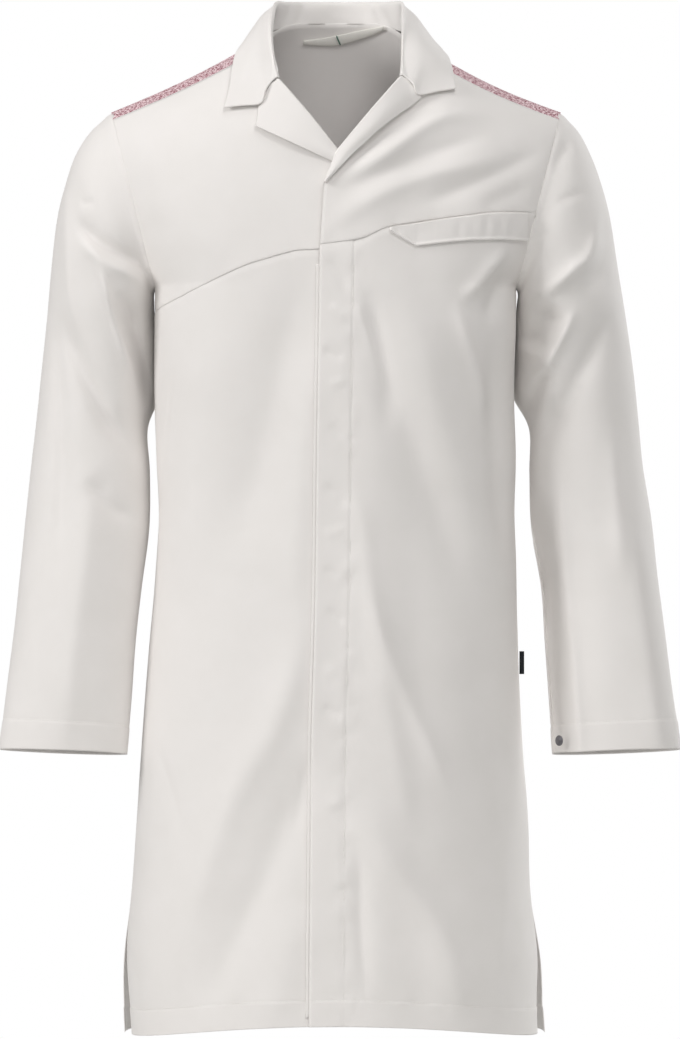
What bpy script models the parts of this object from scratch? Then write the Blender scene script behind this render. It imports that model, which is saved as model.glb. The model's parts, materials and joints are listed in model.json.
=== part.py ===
"""A men's knee-length dust coat, filled out as worn, with nothing inside it.

Each piece that is cut and sewn is its own thin-walled solid. The body pieces all lie
on one surface, torso(), so their seams meet. Sides are the wearer's: left is +X.
The origin is the middle of the neck opening, level with the tops of the shoulders.
Units are metres, +Z is up and the coat faces -Y.
"""

import math

import bpy
import numpy as np

# Cloth
PLY = 0.0014
SEAM_GAP = 0.0003
FLY_PLY = 0.0010
FLY_LIFT = 0.0009
FLY_ENDS_Z = (-1.006, -0.235)
FLY_REACH = (-0.0035, 0.0300)
FLY_ROWS, FLY_COLUMNS = 12, 4
COLLAR_PLY = 0.0014

# Heights and half-widths of the body
HEM_Z = -1.035
FRONT_HEM_RISE = 0.020
HEM_HALF_X = 0.215
PAST_SIDE_X = 0.25
VENT_TOP_Z = -0.895
ARMPIT_Z = -0.253
SHOULDER_Z = -0.070
SHOULDER_X = 0.235
NECK_X = 0.078
NECK_Z = 0.008
NECK_RISE = {-1: 0.014, 1: 0.026}
NECK_ROUND = {-1: 2.0, 1: 4.0}
NECK_DEPTH_SHARE = {-1: 0.49, 1: 0.42}
NECK_CLOSE_POWER = 1.5
SHOULDER_SLOPE = 0.49
SHOULDER_DIP = {-1: 0.0040, 1: 0.0065}
WAIST_POWER = 2.3
CHEST_POWER = 2.75
CHEST_FROM_Z = -0.420
CHEST_FLARE = 0.115
CHEST_CLOSE = 0.045

# How far front and back part at the hem of the side vents
VENT_STEP_IN = 0.008
VENT_OPEN = 0.0035

# The left front laps over the right one
LAP_UNDER_X = 0.022
LAP_LIFT = 0.0048
LAP_FULL_X = 0.034
LAP_END_X = 0.090
LAP_CALM_X = 0.045
LIFT_TOP_H = -0.030
LIFT_FADE = 0.12
ON_PANEL = 0.0012

# Folds end this share of the armhole height below the shoulder
FOLD_FADE = 0.3

# Armhole levels, as shares of the way from armpit to shoulder
ARMHOLE_LEVELS = (0.0, 0.03, 0.10, 0.19, 0.28, 0.37, 0.50, 0.64, 0.78, 0.89, 0.94, 1.0)
YOKE_LEVEL = 5
INSERT_LEVEL = 10
BACK_INSERT_LEVEL = 9
REAR_SEAM_NECK = 0.985
REAR_SEAM_RUN = 0.30
INSERT_MIDDLE = 0.36
FRONT_COLUMNS = 12
NECK_COLUMNS = 4
BACK_FAN_FROM = 0.45
BACK_NECK_DROP = 0.0012

# Body sections: height, side sway, half-width, depth forward and back of the side seam
BODY_SECTIONS = np.array((
    (-1.035, -0.0014, 0.2204, 0.136, 0.131),
    (-1.010, -0.0027, 0.2201, 0.135, 0.131),
    (-0.959, -0.0040, 0.2188, 0.134, 0.130),
    (-0.896, -0.0053, 0.2100, 0.131, 0.127),
    (-0.812, -0.0037, 0.2053, 0.127, 0.122),
    (-0.749, -0.0038, 0.2012, 0.124, 0.118),
    (-0.633, -0.0026, 0.1937, 0.118, 0.111),
    (-0.547, 0.0000, 0.1885, 0.115, 0.105),
    (-0.497, 0.0016, 0.1864, 0.114, 0.103),
    (-0.434, 0.0010, 0.1888, 0.116, 0.103),
    (-0.371, -0.0010, 0.1890, 0.119, 0.106),
    (-0.253, 0.0000, 0.1898, 0.122, 0.113),
))
SWAY, HALF, FRONT_DEPTH, BACK_DEPTH = 1, 2, 3, 4

# Large soft folds: ends (x, z), half-width and height; a minus height is a trough
FRONT_FOLDS = (
    (-0.044, -0.225, -0.145, -0.520, 0.032, -0.0070),
    (-0.030, -0.300, -0.105, -0.560, 0.030, 0.0055),
    (-0.066, -0.700, -0.160, -0.930, 0.030, 0.0070),
    (-0.034, -0.650, -0.120, -0.960, 0.026, -0.0050),
    (0.062, -0.240, 0.140, -0.560, 0.030, 0.0050),
    (0.040, -0.300, 0.130, -0.560, 0.024, -0.0045),
    (0.050, -0.560, 0.085, -0.830, 0.028, -0.0045),
    (0.125, -0.760, 0.128, -1.030, 0.030, 0.0060),
    (0.030, -0.130, 0.170, -0.100, 0.026, -0.0045),
)
BACK_FOLDS = (
    (-0.060, -0.180, -0.110, -0.480, 0.034, -0.0055),
    (0.055, -0.200, 0.120, -0.500, 0.034, -0.0060),
    (0.010, -0.420, -0.040, -0.980, 0.036, 0.0065),
    (0.110, -0.600, 0.140, -1.030, 0.032, 0.0060),
    (-0.120, -0.620, -0.135, -1.030, 0.030, 0.0055),
    (0.060, -0.560, 0.075, -0.960, 0.028, -0.0050),
    (-0.070, -0.640, -0.085, -1.000, 0.028, -0.0050),
)

# The chest seam where each yoke joins its lower front: (x, z) from centre to side
YOKE_SEAM_RIGHT = ((-0.250, -0.306), (-0.1733, -0.2725), (-0.1327, -0.2537), (-0.0954, -0.2370),
                   (-0.0675, -0.2282), (-0.0410, -0.2212), (-0.0224, -0.2202), (0.0300, -0.2170))
YOKE_SEAM_LEFT = ((-0.0350, -0.2165), (-0.0163, -0.2151), (0.0257, -0.2090), (0.0524, -0.1974),
                  (0.0800, -0.1925), (0.1076, -0.1878), (0.1344, -0.1840), (0.1720, -0.1795),
                  (0.2500, -0.1795))
RIGHT_SEAM_SIDE_Z = -0.276

# The fold edge of the left front, and the roll lines of the two lapels: (x, z)
LAP_EDGE = ((-0.0275, -1.040), (-0.0275, -1.010), (-0.0265, -0.856), (-0.0255, -0.735),
            (-0.0214, -0.585), (-0.0193, -0.395), (-0.0163, -0.213), (-0.0122, -0.1516))
BREAK_LEFT = (-0.0122, -0.1516)
# Each yoke's front edge below its lapel's break: (x, z), or the right one's upper end
YOKE_EDGE_LEFT = ((-0.0163, -0.2151), (-0.0142, -0.1830))
YOKE_EDGE_RIGHT_Z = -0.1780
ROLL_LEFT = (BREAK_LEFT, (0.0032, -0.1185), (0.0352, -0.0790), (0.0672, -0.0404))
ROLL_RIGHT = ((LAP_UNDER_X, -0.1410), (0.0032, -0.1185), (-0.0283, -0.0805), (-0.0598, -0.0425))

# Outer edges of the lapels: (x, z) from the break to the corner and the notch
LAPEL_EDGE_LEFT = ((-0.0060, -0.1530), (0.0180, -0.1225), (0.0452, -0.0966), (0.0680, -0.0780),
                   (0.0876, -0.0635), (0.0850, -0.0612))
LAPEL_EDGE_RIGHT = ((-0.0038, -0.1300), (-0.0300, -0.1180), (-0.0570, -0.1055),
                    (-0.0822, -0.0937), (-0.0768, -0.0725))
LAPEL_ROLL_RIGHT = ((0.0020, -0.1196), (-0.0283, -0.0805), (-0.0598, -0.0432))
LAPEL_SWELL = 0.0030
LAPEL_ROWS = 9

# Collar stations round the neck, from the back to a front end:
# neck seam x, z; roll x, y, z; leaf edge x, z; leaf face (1 back, -1 front)
COLLAR_BACK = (
    (0.0000, 0.0340, 0.0000, 0.0760, 0.0550, 0.0000, -0.0100, 1),
    (0.0340, 0.0331, 0.0310, 0.0710, 0.0545, 0.0440, -0.0110, 1),
    (0.0480, 0.0303, 0.0430, 0.0640, 0.0538, 0.0630, -0.0092, 1),
    (0.0600, 0.0249, 0.0530, 0.0540, 0.0527, 0.0800, -0.0060, 1),
)
COLLAR_RIGHT = (
    (0.0740, 0.0129, 0.0640, 0.0290, 0.0500, 0.0930, -0.0010, 1),
    (0.0775, 0.0070, 0.0672, -0.0120, 0.0330, 0.1010, -0.0150, -1),
    (0.0750, -0.0060, 0.0675, -0.0480, 0.0100, 0.1055, -0.0330, -1),
    (0.0690, -0.0240, 0.0650, -0.0730, -0.0160, 0.1085, -0.0530, -1),
    (0.0598, -0.0425, 0.0598, -0.0885, -0.0425, 0.1140, -0.0750, -1),
)
COLLAR_LEFT = (
    (0.0740, 0.0129, 0.0700, 0.0290, 0.0500, 0.0995, -0.0010, 1),
    (0.0775, 0.0070, 0.0705, -0.0120, 0.0320, 0.1130, -0.0130, -1),
    (0.0760, -0.0060, 0.0700, -0.0480, 0.0100, 0.1175, -0.0270, -1),
    (0.0730, -0.0240, 0.0690, -0.0730, -0.0160, 0.1200, -0.0410, -1),
    (0.0672, -0.0404, 0.0672, -0.0875, -0.0404, 0.1222, -0.0546, -1),
)
NOTCH_RIGHT = (0.0762, -0.0713)
NOTCH_LEFT = (0.0846, -0.0605)
COLLAR_LIFT = 0.0026
COLLAR_FRONT_LIFT = {-1: 0.0026, 1: 0.0006}
ROLL_RADIUS = 0.0030
ROLL_DROP = 0.0040
COLLAR_INSIDE = 0.0030
COLLAR_SEAM_RISE = 0.0014
LEAF_SWELL = 0.0015

# The collar's front end lies on the yoke: how far each point stands out and to the neck
END_SEAM = (0.0006, 0.0026)
END_INSIDE = (0.0026, 0.0030)
END_ROLL = (0.0048, 0.0012)
END_OUTSIDE = (0.0052, -0.0040)

# Sleeve sections: outer point (x, z), inner point (x, z), half-depth, middle y, how far the
# inner point lies back, and how far the left sleeve's outer and inner points stand further out
SLEEVE_SECTIONS = (
    (0.2560, -0.0880, 0.1910, -0.2600, 0.072, 0.002, 0.000, -0.0030, 0.0000),
    (0.2728, -0.1130, 0.1912, -0.2690, 0.075, 0.003, 0.005, -0.0060, 0.0000),
    (0.2832, -0.1420, 0.1910, -0.2800, 0.076, 0.005, 0.012, -0.0054, 0.0000),
    (0.2928, -0.1800, 0.1900, -0.2950, 0.075, 0.007, 0.020, -0.0048, 0.0000),
    (0.2990, -0.2300, 0.1885, -0.3150, 0.073, 0.010, 0.028, -0.0030, 0.0000),
    (0.3040, -0.2850, 0.1870, -0.3380, 0.070, 0.013, 0.033, 0.0010, 0.0000),
    (0.3100, -0.3400, 0.1865, -0.3660, 0.067, 0.016, 0.028, 0.0030, 0.0005),
    (0.3155, -0.3920, 0.1985, -0.4010, 0.065, 0.018, 0.005, 0.0030, 0.0050),
    (0.3210, -0.4400, 0.1960, -0.4480, 0.063, 0.016, 0.000, 0.0020, 0.0077),
    (0.3265, -0.4950, 0.1965, -0.5060, 0.060, 0.011, 0.000, 0.0050, 0.0090),
    (0.3320, -0.5550, 0.2040, -0.5670, 0.056, 0.003, 0.000, 0.0055, 0.0120),
    (0.3375, -0.6120, 0.2100, -0.6240, 0.051, -0.005, 0.000, 0.0070, 0.0095),
    (0.3450, -0.6750, 0.2140, -0.6850, 0.045, -0.014, 0.000, 0.0070, 0.0095),
    (0.3520, -0.7370, 0.2185, -0.7420, 0.037, -0.024, 0.000, 0.0090, 0.0083),
)
LEAN_SPAN = 0.30
LEAN_POWER = 1.5
CUFF_TILT = 0.10
CUFF_TILT_RUN = 0.45
ARMHOLE_GAP = 0.0004

# Pocket flap: its lower edge, (x, z) from the centre to the armhole
FLAP_EDGE = ((0.0554, -0.2015), (0.0818, -0.2169), (0.1076, -0.2134), (0.1344, -0.2105),
             (0.1720, -0.2084), (0.2500, -0.2084))
FLAP_END_X = 0.1975
FLAP_COLUMNS = 9
FLAP_BELOW_SEAM = 0.0012
FLAP_LEAST = 0.004

# Small pieces
LOOP_ENDS = ((-0.037, 0.0085), (0.053, 0.0195))
LOOP_WIDTH = 0.0080
LOOP_PLY = 0.0010
LOOP_INSIDE = 0.0028
STUD_RADIUS = 0.0055
STUD_HEIGHT = 0.0022
STUD_SHARE = 0.055
STUD_RISE = 0.013
STUD_OFF = 0.0007
STUD_SPREAD = 0.02
STUD_PROFILE = ((1.0, 0.0), (1.0, 0.6), (0.75, 1.0))
TAB_SIZE = (0.0050, 0.0012, 0.0240)
TAB_Z = -0.647
TAB_OFF = 0.0009

WHITE_CLOTH = (0.80, 0.79, 0.77, 1.0)
PRINT_CLOTH = (0.72, 0.42, 0.48, 1.0)
DARK_TAB = (0.03, 0.035, 0.045, 1.0)
STUD_METAL = (0.20, 0.20, 0.21, 1.0)


def clear_scene():
    for item in list(bpy.data.objects):
        bpy.data.objects.remove(item, do_unlink=True)


def material(name, colour, roughness, metallic=0.0):
    """One Principled material, made once."""
    made = bpy.data.materials.get(name)
    if made is None:
        made = bpy.data.materials.new(name)
        made.use_nodes = True
        shader = made.node_tree.nodes["Principled BSDF"]
        shader.inputs["Base Color"].default_value = colour
        shader.inputs["Roughness"].default_value = roughness
        shader.inputs["Metallic"].default_value = metallic
    return made


def twill():
    return material("white_twill", WHITE_CLOTH, 0.85)


def ease(share):
    """A smooth step from 0 to 1."""
    share = np.clip(share, 0.0, 1.0)
    return share * share * (3.0 - 2.0 * share)


def read(table, column, at):
    """One column of a section table at any height, by cubic curves through its rows."""
    keys, values = table[:, 0], table[:, column]
    slopes = np.gradient(values, keys)
    row = np.clip(np.searchsorted(keys, at) - 1, 0, len(keys) - 2)
    span = keys[row + 1] - keys[row]
    t = np.clip((at - keys[row]) / span, 0.0, 1.0)
    start = (1.0 + 2.0 * t) * (1.0 - t) ** 2
    leave = t * (1.0 - t) ** 2 * span
    end = t * t * (3.0 - 2.0 * t)
    arrive = t * t * (t - 1.0) * span
    return start * values[row] + leave * slopes[row] + end * values[row + 1] + arrive * slopes[row + 1]


def shoulder_top(x, face):
    """Height of the shoulder line, and of the neck line inside it."""
    reach = np.abs(x)
    run = np.clip((reach - NECK_X) / (SHOULDER_X - NECK_X), 0.0, 1.0)
    dip = np.where(x > 0.0, SHOULDER_DIP[1], SHOULDER_DIP[-1]) * np.sin(math.pi * run)
    outside = NECK_Z - (reach - NECK_X) * SHOULDER_SLOPE - dip
    inside = NECK_Z + NECK_RISE[face] * (1.0 - (reach / NECK_X) ** NECK_ROUND[face])
    return np.where(reach > NECK_X, outside, inside)


def armhole_share(h):
    """How far a level is from the armpit (0) to the shoulder (1)."""
    return np.clip((h - ARMPIT_Z) / (SHOULDER_Z - ARMPIT_Z), 0.0, 1.0)


def panel_half(h, face):
    """Half-width of the body's cloth at a level: side seam, or armhole edge above it."""
    low = np.minimum(h, ARMPIT_Z)
    half = read(BODY_SECTIONS, HALF, low)
    half = half + armhole_share(h) * (SHOULDER_X - half)
    if face < 0:
        half = half - VENT_STEP_IN * ease((VENT_TOP_Z - low) / (VENT_TOP_Z - HEM_Z))
    return half


def bare_torso(p, h, face):
    """The smooth body surface.

    p runs from the right side seam (-1) to the left one (1), h is the level, and face is
    -1 for the front and 1 for the back. Each level is part of a superellipse that closes
    over the shoulder and leaves the neck open.
    """
    share = armhole_share(h)
    low = np.minimum(h, ARMPIT_Z)
    edge = panel_half(h, face)
    side = np.sin(p * math.pi / 2.0)
    x = read(BODY_SECTIONS, SWAY, low) + edge * side
    armpit_half = BODY_SECTIONS[-1, HALF]
    swell = edge + share * (CHEST_FLARE - (SHOULDER_X - armpit_half)) - CHEST_CLOSE * share ** 2
    power = WAIST_POWER + (CHEST_POWER - WAIST_POWER) * ease((low - CHEST_FROM_Z) / (ARMPIT_Z - CHEST_FROM_Z))
    depth = read(BODY_SECTIONS, FRONT_DEPTH if face < 0 else BACK_DEPTH, low)
    reach = np.clip(np.abs(edge * side) / swell, 0.0, 1.0)
    round_off = (1.0 - reach ** power) ** (1.0 / power)
    neck = np.clip(1.0 - (x / NECK_X) ** 2, 0.0, 1.0) ** NECK_CLOSE_POWER
    close = np.sqrt(np.clip(1.0 - share ** 3 * (1.0 - NECK_DEPTH_SHARE[face] * neck), 0.0, 1.0))
    vent = ease((VENT_TOP_Z - low) / (VENT_TOP_Z - HEM_Z)) * np.abs(p) ** 6
    y = face * (depth * round_off * close + VENT_OPEN * vent)
    z = low + share * (shoulder_top(x, face) - ARMPIT_Z)
    return np.stack((x, y, z), axis=-1)


def torso_normal(p, h, face):
    """Outward normals of the smooth body surface, turned into the armhole's own plane at
    its edge, so that body and sleeve meet on one mitre."""
    step = 1e-3
    across = bare_torso(np.minimum(p + step, 1.0), h, face) - bare_torso(np.maximum(p - step, -1.0), h, face)
    up = bare_torso(p, h + step, face) - bare_torso(p, h - step, face)
    normal = np.cross(across, up) * -face
    normal /= np.linalg.norm(normal, axis=-1, keepdims=True)
    share = armhole_share(h)
    at_armhole = (np.abs(p) > 0.999) & (h > ARMPIT_Z - 1e-6)
    middle = 0.5 * (ARMPIT_Z + SHOULDER_Z)
    radial = bare_torso(p, h, face)
    radial = np.stack((np.zeros_like(share), radial[..., 1], radial[..., 2] - middle), axis=-1)
    radial /= np.linalg.norm(radial, axis=-1, keepdims=True)
    return np.where(at_armhole[..., None], radial, normal)


def fold_height(x, z, folds):
    """Sum of soft folds, each a bell across its line that fades at both ends."""
    total = np.zeros_like(x)
    for x0, z0, x1, z1, width, height in folds:
        dx, dz = x1 - x0, z1 - z0
        length = math.hypot(dx, dz)
        along = ((x - x0) * dx + (z - z0) * dz) / length ** 2
        off = ((x - x0) * dz - (z - z0) * dx) / length
        fade = ease((along + 0.15) / 0.3) * ease((1.15 - along) / 0.3)
        total += height * np.exp(-((off / width) ** 2)) * fade
    return total


def torso(p, h, face, lift=0.0):
    """Points and normals of the body surface with its folds, moved out by lift."""
    points = bare_torso(p, h, face)
    normals = torso_normal(p, h, face)
    folds = fold_height(points[..., 0], points[..., 2], FRONT_FOLDS if face < 0 else BACK_FOLDS)
    calm = (1.0 - np.abs(p) ** 8) * ease((1.0 - armhole_share(h)) / FOLD_FADE)
    if face < 0:
        calm = calm * ease(np.abs(points[..., 0]) / LAP_CALM_X)
    return points + normals * (folds * calm + lift)[..., None], normals


def chart(x, z, face=-1):
    """The (p, h) of a place given by x and z as seen from the front."""
    x, z = np.asarray(x, dtype=float), np.asarray(z, dtype=float)
    share = np.clip((z - ARMPIT_Z) / (shoulder_top(x, face) - ARMPIT_Z), 0.0, 1.0)
    h = np.where(z > ARMPIT_Z, ARMPIT_Z + share * (SHOULDER_Z - ARMPIT_Z), z)
    low = np.minimum(h, ARMPIT_Z)
    side = (x - read(BODY_SECTIONS, SWAY, low)) / panel_half(h, face)
    return np.stack((np.arcsin(np.clip(side, -1.0, 1.0)) * 2.0 / math.pi, h), axis=-1)


def along(line, start_x, end_x, count, end_h=None):
    """A line of (x, z) points as count chart points, evenly spaced round the body."""
    line = np.array(line)
    line = line[np.argsort(line[:, 0])]
    x = np.linspace(start_x, end_x, 240)
    dense = chart(x, np.interp(x, line[:, 0], line[:, 1]))
    order = np.argsort(dense[:, 0], kind="stable")
    p = np.linspace(dense[0, 0], dense[-1, 0], count)
    points = np.stack((p, np.interp(p, dense[order, 0], dense[order, 1])), axis=-1)
    if end_h is not None:
        points[-1] = (np.sign(end_x), end_h)
    return points


def coons(bottom, top, inner, outer):
    """A grid of chart points between four edges: rows go up, columns go inner to outer."""
    rows, columns = len(inner), len(bottom)
    v = np.linspace(0.0, 1.0, rows)[:, None, None]
    u = np.linspace(0.0, 1.0, columns)[None, :, None]
    ruled_up = (1 - v) * bottom[None] + v * top[None]
    ruled_across = (1 - u) * inner[:, None] + u * outer[:, None]
    corners = ((1 - u) * (1 - v) * bottom[0] + u * (1 - v) * bottom[-1]
               + (1 - u) * v * top[0] + u * v * top[-1])
    return ruled_up + ruled_across - corners


def pull_in(points, sides="bottom top inner outer", gap=SEAM_GAP):
    """Draw the named edges of a grid in by half a seam gap."""
    points = points.copy()
    moves = {"bottom": (points[0], points[1]), "top": (points[-1], points[-2]),
             "inner": (points[:, 0], points[:, 1]), "outer": (points[:, -1], points[:, -2])}
    for side in sides.split():
        edge, inside = moves[side]
        step = inside - edge
        edge += step / np.linalg.norm(step, axis=-1, keepdims=True) * (gap * 0.6)
    return points


def grid_normals(points, wrap=False):
    """Normals of a grid from its own rows and columns."""
    if wrap:
        across = np.roll(points, -1, axis=1) - np.roll(points, 1, axis=1)
    else:
        across = np.gradient(points, axis=1)
    up = np.gradient(points, axis=0)
    normals = np.cross(across, up)
    return normals / np.maximum(np.linalg.norm(normals, axis=-1, keepdims=True), 1e-12)


def build(name, verts, faces, cloth):
    """A closed mesh object with its faces pointing out, told by the sign of its volume."""
    verts = np.asarray(verts, dtype=float)
    middle = verts.mean(axis=0)
    volume = 0.0
    for face in faces:
        for k in range(1, len(face) - 1):
            a, b, c = (verts[face[i]] - middle for i in (0, k, k + 1))
            volume += float(np.dot(a, np.cross(b, c)))
    if volume < 0.0:
        faces = [tuple(reversed(face)) for face in faces]
    mesh = bpy.data.meshes.new(name)
    mesh.from_pydata([tuple(v) for v in verts], [], faces)
    mesh.shade_smooth()
    mesh.materials.append(cloth)
    piece = bpy.data.objects.new(name, mesh)
    bpy.context.scene.collection.objects.link(piece)
    return piece


def wall(name, outer, normals, thickness=PLY, wrap=False, cloth=None):
    """A wall of cloth: the outer grid, an inner one behind it, and the cut edges."""
    rows, columns = outer.shape[:2]
    inner = outer - normals * thickness
    verts = np.concatenate((outer.reshape(-1, 3), inner.reshape(-1, 3)))
    far = rows * columns

    def at(row, column, side):
        return side * far + row * columns + column % columns

    last = columns if wrap else columns - 1
    faces = []
    for r in range(rows - 1):
        for c in range(last):
            faces.append((at(r, c, 0), at(r, c + 1, 0), at(r + 1, c + 1, 0), at(r + 1, c, 0)))
            faces.append((at(r, c, 1), at(r + 1, c, 1), at(r + 1, c + 1, 1), at(r, c + 1, 1)))
    top = rows - 1
    for c in range(last):
        faces.append((at(0, c, 0), at(0, c, 1), at(0, c + 1, 1), at(0, c + 1, 0)))
        faces.append((at(top, c, 0), at(top, c + 1, 0), at(top, c + 1, 1), at(top, c, 1)))
    if not wrap:
        for r in range(top):
            faces.append((at(r, 0, 0), at(r + 1, 0, 0), at(r + 1, 0, 1), at(r, 0, 1)))
            faces.append((at(r, last, 0), at(r, last, 1), at(r + 1, last, 1), at(r + 1, last, 0)))
    return build(name, verts, faces, cloth or twill())


def levels(*picked):
    """Chart heights of the armhole levels picked."""
    return [ARMPIT_Z + ARMHOLE_LEVELS[k] * (SHOULDER_Z - ARMPIT_Z) for k in picked]


def column_of(p, heights):
    return np.stack((np.full(len(heights), float(p)), np.array(heights)), axis=-1)


def resample(line, count):
    """A polyline of (x, z) points read at count even steps of its length."""
    line = np.array(line)
    step = np.linalg.norm(np.diff(line, axis=0), axis=1)
    run = np.concatenate(([0.0], np.cumsum(step)))
    at = np.linspace(0.0, run[-1], count)
    return np.stack((np.interp(at, run, line[:, 0]), np.interp(at, run, line[:, 1])), axis=-1)


def lap_lift(x):
    """How far the left front stands off the right one, fading to its side."""
    return LAP_LIFT * ease((LAP_END_X - x) / (LAP_END_X - LAP_FULL_X))


def yoke_lift(p, h, side):
    """The left yoke's lift, which fades towards the neck."""
    if side < 0:
        return 0.0
    return lap_lift(bare_torso(p, h, -1)[..., 0]) * ease((LIFT_TOP_H - h) / LIFT_FADE)


def lap_edge_x(z):
    """Where the left front's fold edge is at a height."""
    line = np.array(LAP_EDGE)
    return np.interp(z, line[:, 1], line[:, 0])


def front_hem(x):
    return HEM_Z + FRONT_HEM_RISE * (1.0 - np.clip(np.abs(x) / HEM_HALF_X, 0.0, 1.0) ** 2)


SIDE_ROWS = (HEM_Z, -0.985, -0.940, VENT_TOP_Z, -0.815, -0.735, -0.655, -0.575, -0.495,
             -0.415, -0.335)


def lower_front(side):
    """A lower front, from the hem to the chest seam."""
    left = side > 0
    seam = YOKE_SEAM_LEFT if left else YOKE_SEAM_RIGHT
    if left:
        outer = column_of(1, list(SIDE_ROWS) + levels(*range(YOKE_LEVEL + 1)))
        inner_x = [float(lap_edge_x(HEM_Z)), YOKE_EDGE_LEFT[0][0]]
    else:
        outer = column_of(-1, list(SIDE_ROWS) + [RIGHT_SEAM_SIDE_Z])
        inner_x = [LAP_UNDER_X, LAP_UNDER_X]
    hem_x = np.linspace(inner_x[0], side * PAST_SIDE_X, 60)
    hem = along(np.stack((hem_x, front_hem(hem_x)), axis=-1), inner_x[0], side * PAST_SIDE_X, FRONT_COLUMNS, HEM_Z)
    top = along(seam, inner_x[1], side * PAST_SIDE_X, FRONT_COLUMNS, outer[-1, 1])
    heights = np.linspace(hem[0, 1], chart(inner_x[1], np.interp(inner_x[1], *sorted_line(seam)))[1], len(outer))
    edge_x = lap_edge_x(heights) if left else np.full(len(outer), LAP_UNDER_X)
    inner = chart(edge_x, heights_to_z(edge_x, heights))
    inner[0], inner[-1] = hem[0], top[0]
    grid = coons(hem, top, inner, outer)
    lift = lap_lift(bare_torso(grid[..., 0], grid[..., 1], -1)[..., 0]) if left else 0.0
    points, normals = torso(grid[..., 0], grid[..., 1], -1, lift)
    name = "front_left" if left else "front_right"
    return wall(name, pull_in(points, "top outer"), normals)


def sorted_line(line):
    line = np.array(line)
    return line[np.argsort(line[:, 0])].T


def heights_to_z(x, h):
    """World height of a chart level at x, on the front."""
    return np.where(h > ARMPIT_Z, ARMPIT_Z + armhole_share(h) * (shoulder_top(x, -1) - ARMPIT_Z), h)


def yoke(side):
    """A front yoke, from the chest seam to the shoulder insert, with the roll line."""
    left = side > 0
    if left:
        seam, roll = YOKE_SEAM_LEFT, ROLL_LEFT
        outer = column_of(1, levels(*range(YOKE_LEVEL, INSERT_LEVEL + 1)))
        below = YOKE_EDGE_LEFT
    else:
        seam, roll = YOKE_SEAM_RIGHT, ROLL_RIGHT
        outer = column_of(-1, [RIGHT_SEAM_SIDE_Z] + levels(*range(0, INSERT_LEVEL + 1)))
        below = ((LAP_UNDER_X, np.interp(LAP_UNDER_X, *sorted_line(seam))), (LAP_UNDER_X, YOKE_EDGE_RIGHT_Z))
    top_h = outer[-1, 1]
    neck_p = shoulder_columns(side)[0]
    neck_at = bare_torso(neck_p, np.array(top_h), -1)
    neck = (float(neck_at[0]), float(neck_at[2]))
    # The inner edge has the break, the V and the gorge as its own points
    fixed = list(below) + list(roll) + [neck]
    inner_xz = resample(fixed, len(outer)) if len(outer) != len(fixed) else np.array(fixed)
    inner = chart(inner_xz[:, 0], inner_xz[:, 1])
    top = np.stack((shoulder_columns(side), np.full(FRONT_COLUMNS, top_h)), axis=-1)
    bottom = along(seam, below[0][0], side * PAST_SIDE_X, FRONT_COLUMNS, outer[0, 1])
    inner[0], inner[-1] = bottom[0], top[0]
    grid = coons(bottom, top, inner, outer)
    lift = yoke_lift(grid[..., 0], grid[..., 1], side)
    points, normals = torso(grid[..., 0], grid[..., 1], -1, lift)
    return wall("yoke_left" if left else "yoke_right", pull_in(points, "bottom top outer"), normals)


def shoulder_columns(side):
    """Places along the shoulder from the neck point to the armhole."""
    neck_p = math.asin(NECK_X / SHOULDER_X) * 2.0 / math.pi
    return side * np.linspace(neck_p, 1.0, FRONT_COLUMNS)


def rear_seam_level(p):
    """Level of the shoulder insert's rear seam, which rises towards the neck."""
    along_shoulder = (np.abs(p) - abs(shoulder_columns(1)[0])) / REAR_SEAM_RUN
    share = REAR_SEAM_NECK + (ARMHOLE_LEVELS[BACK_INSERT_LEVEL] - REAR_SEAM_NECK) * ease(along_shoulder)
    return ARMPIT_Z + share * (SHOULDER_Z - ARMPIT_Z)


def shoulder_insert(side):
    """The printed strip over the top of the shoulder, from front seam to back seam."""
    p = shoulder_columns(side)
    rear = rear_seam_level(p)
    middle = SHOULDER_Z + (rear - SHOULDER_Z) * INSERT_MIDDLE
    middle[-1] = levels(INSERT_LEVEL)[0]
    parts = [torso(p, np.full(len(p), levels(INSERT_LEVEL)[0]), -1), ridge(p),
             torso(p, middle, 1), torso(p, rear, 1)]
    points, normals = (np.array(part) for part in zip(*parts))
    name = "shoulder_insert_left" if side > 0 else "shoulder_insert_right"
    printed = material("printed_twill", PRINT_CLOTH, 0.85)
    return wall(name, pull_in(points, "bottom top outer"), normals, cloth=printed)


def ridge(p):
    """The top line of the shoulder, its normals square to it in the front view."""
    h = np.full(len(p), SHOULDER_Z)
    line = bare_torso(p, h, -1)
    slope = np.gradient(line, axis=0)
    normal = np.cross(slope, np.array((0.0, 1.0, 0.0)))
    normal *= np.sign(normal[:, 2:3])
    return line, normal / np.linalg.norm(normal, axis=-1, keepdims=True)


def back():
    """The back, one piece from hem to neck, shoulder seams and armholes."""
    heights = list(SIDE_ROWS) + levels(*range(0, BACK_INSERT_LEVEL + 1))
    shoulder = shoulder_columns(1)
    neck = np.linspace(0.0, shoulder[0], NECK_COLUMNS + 2)[1:-1]
    half = np.concatenate((neck, shoulder))
    p = np.concatenate((-half[::-1], [0.0], half))
    top_h = np.where(np.abs(p) < shoulder[0] - 1e-6, SHOULDER_Z - BACK_NECK_DROP, rear_seam_level(p))
    v = np.linspace(0.0, 1.0, len(heights))[:, None]
    rise = np.clip((v - BACK_FAN_FROM) / (1.0 - BACK_FAN_FROM), 0.0, 1.0)
    h = np.array(heights)[:, None] + rise * (top_h - heights[-1])[None]
    points, normals = torso(np.repeat(p[None], len(heights), axis=0), h, 1)
    return wall("back", pull_in(points, "top inner outer"), normals)


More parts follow.
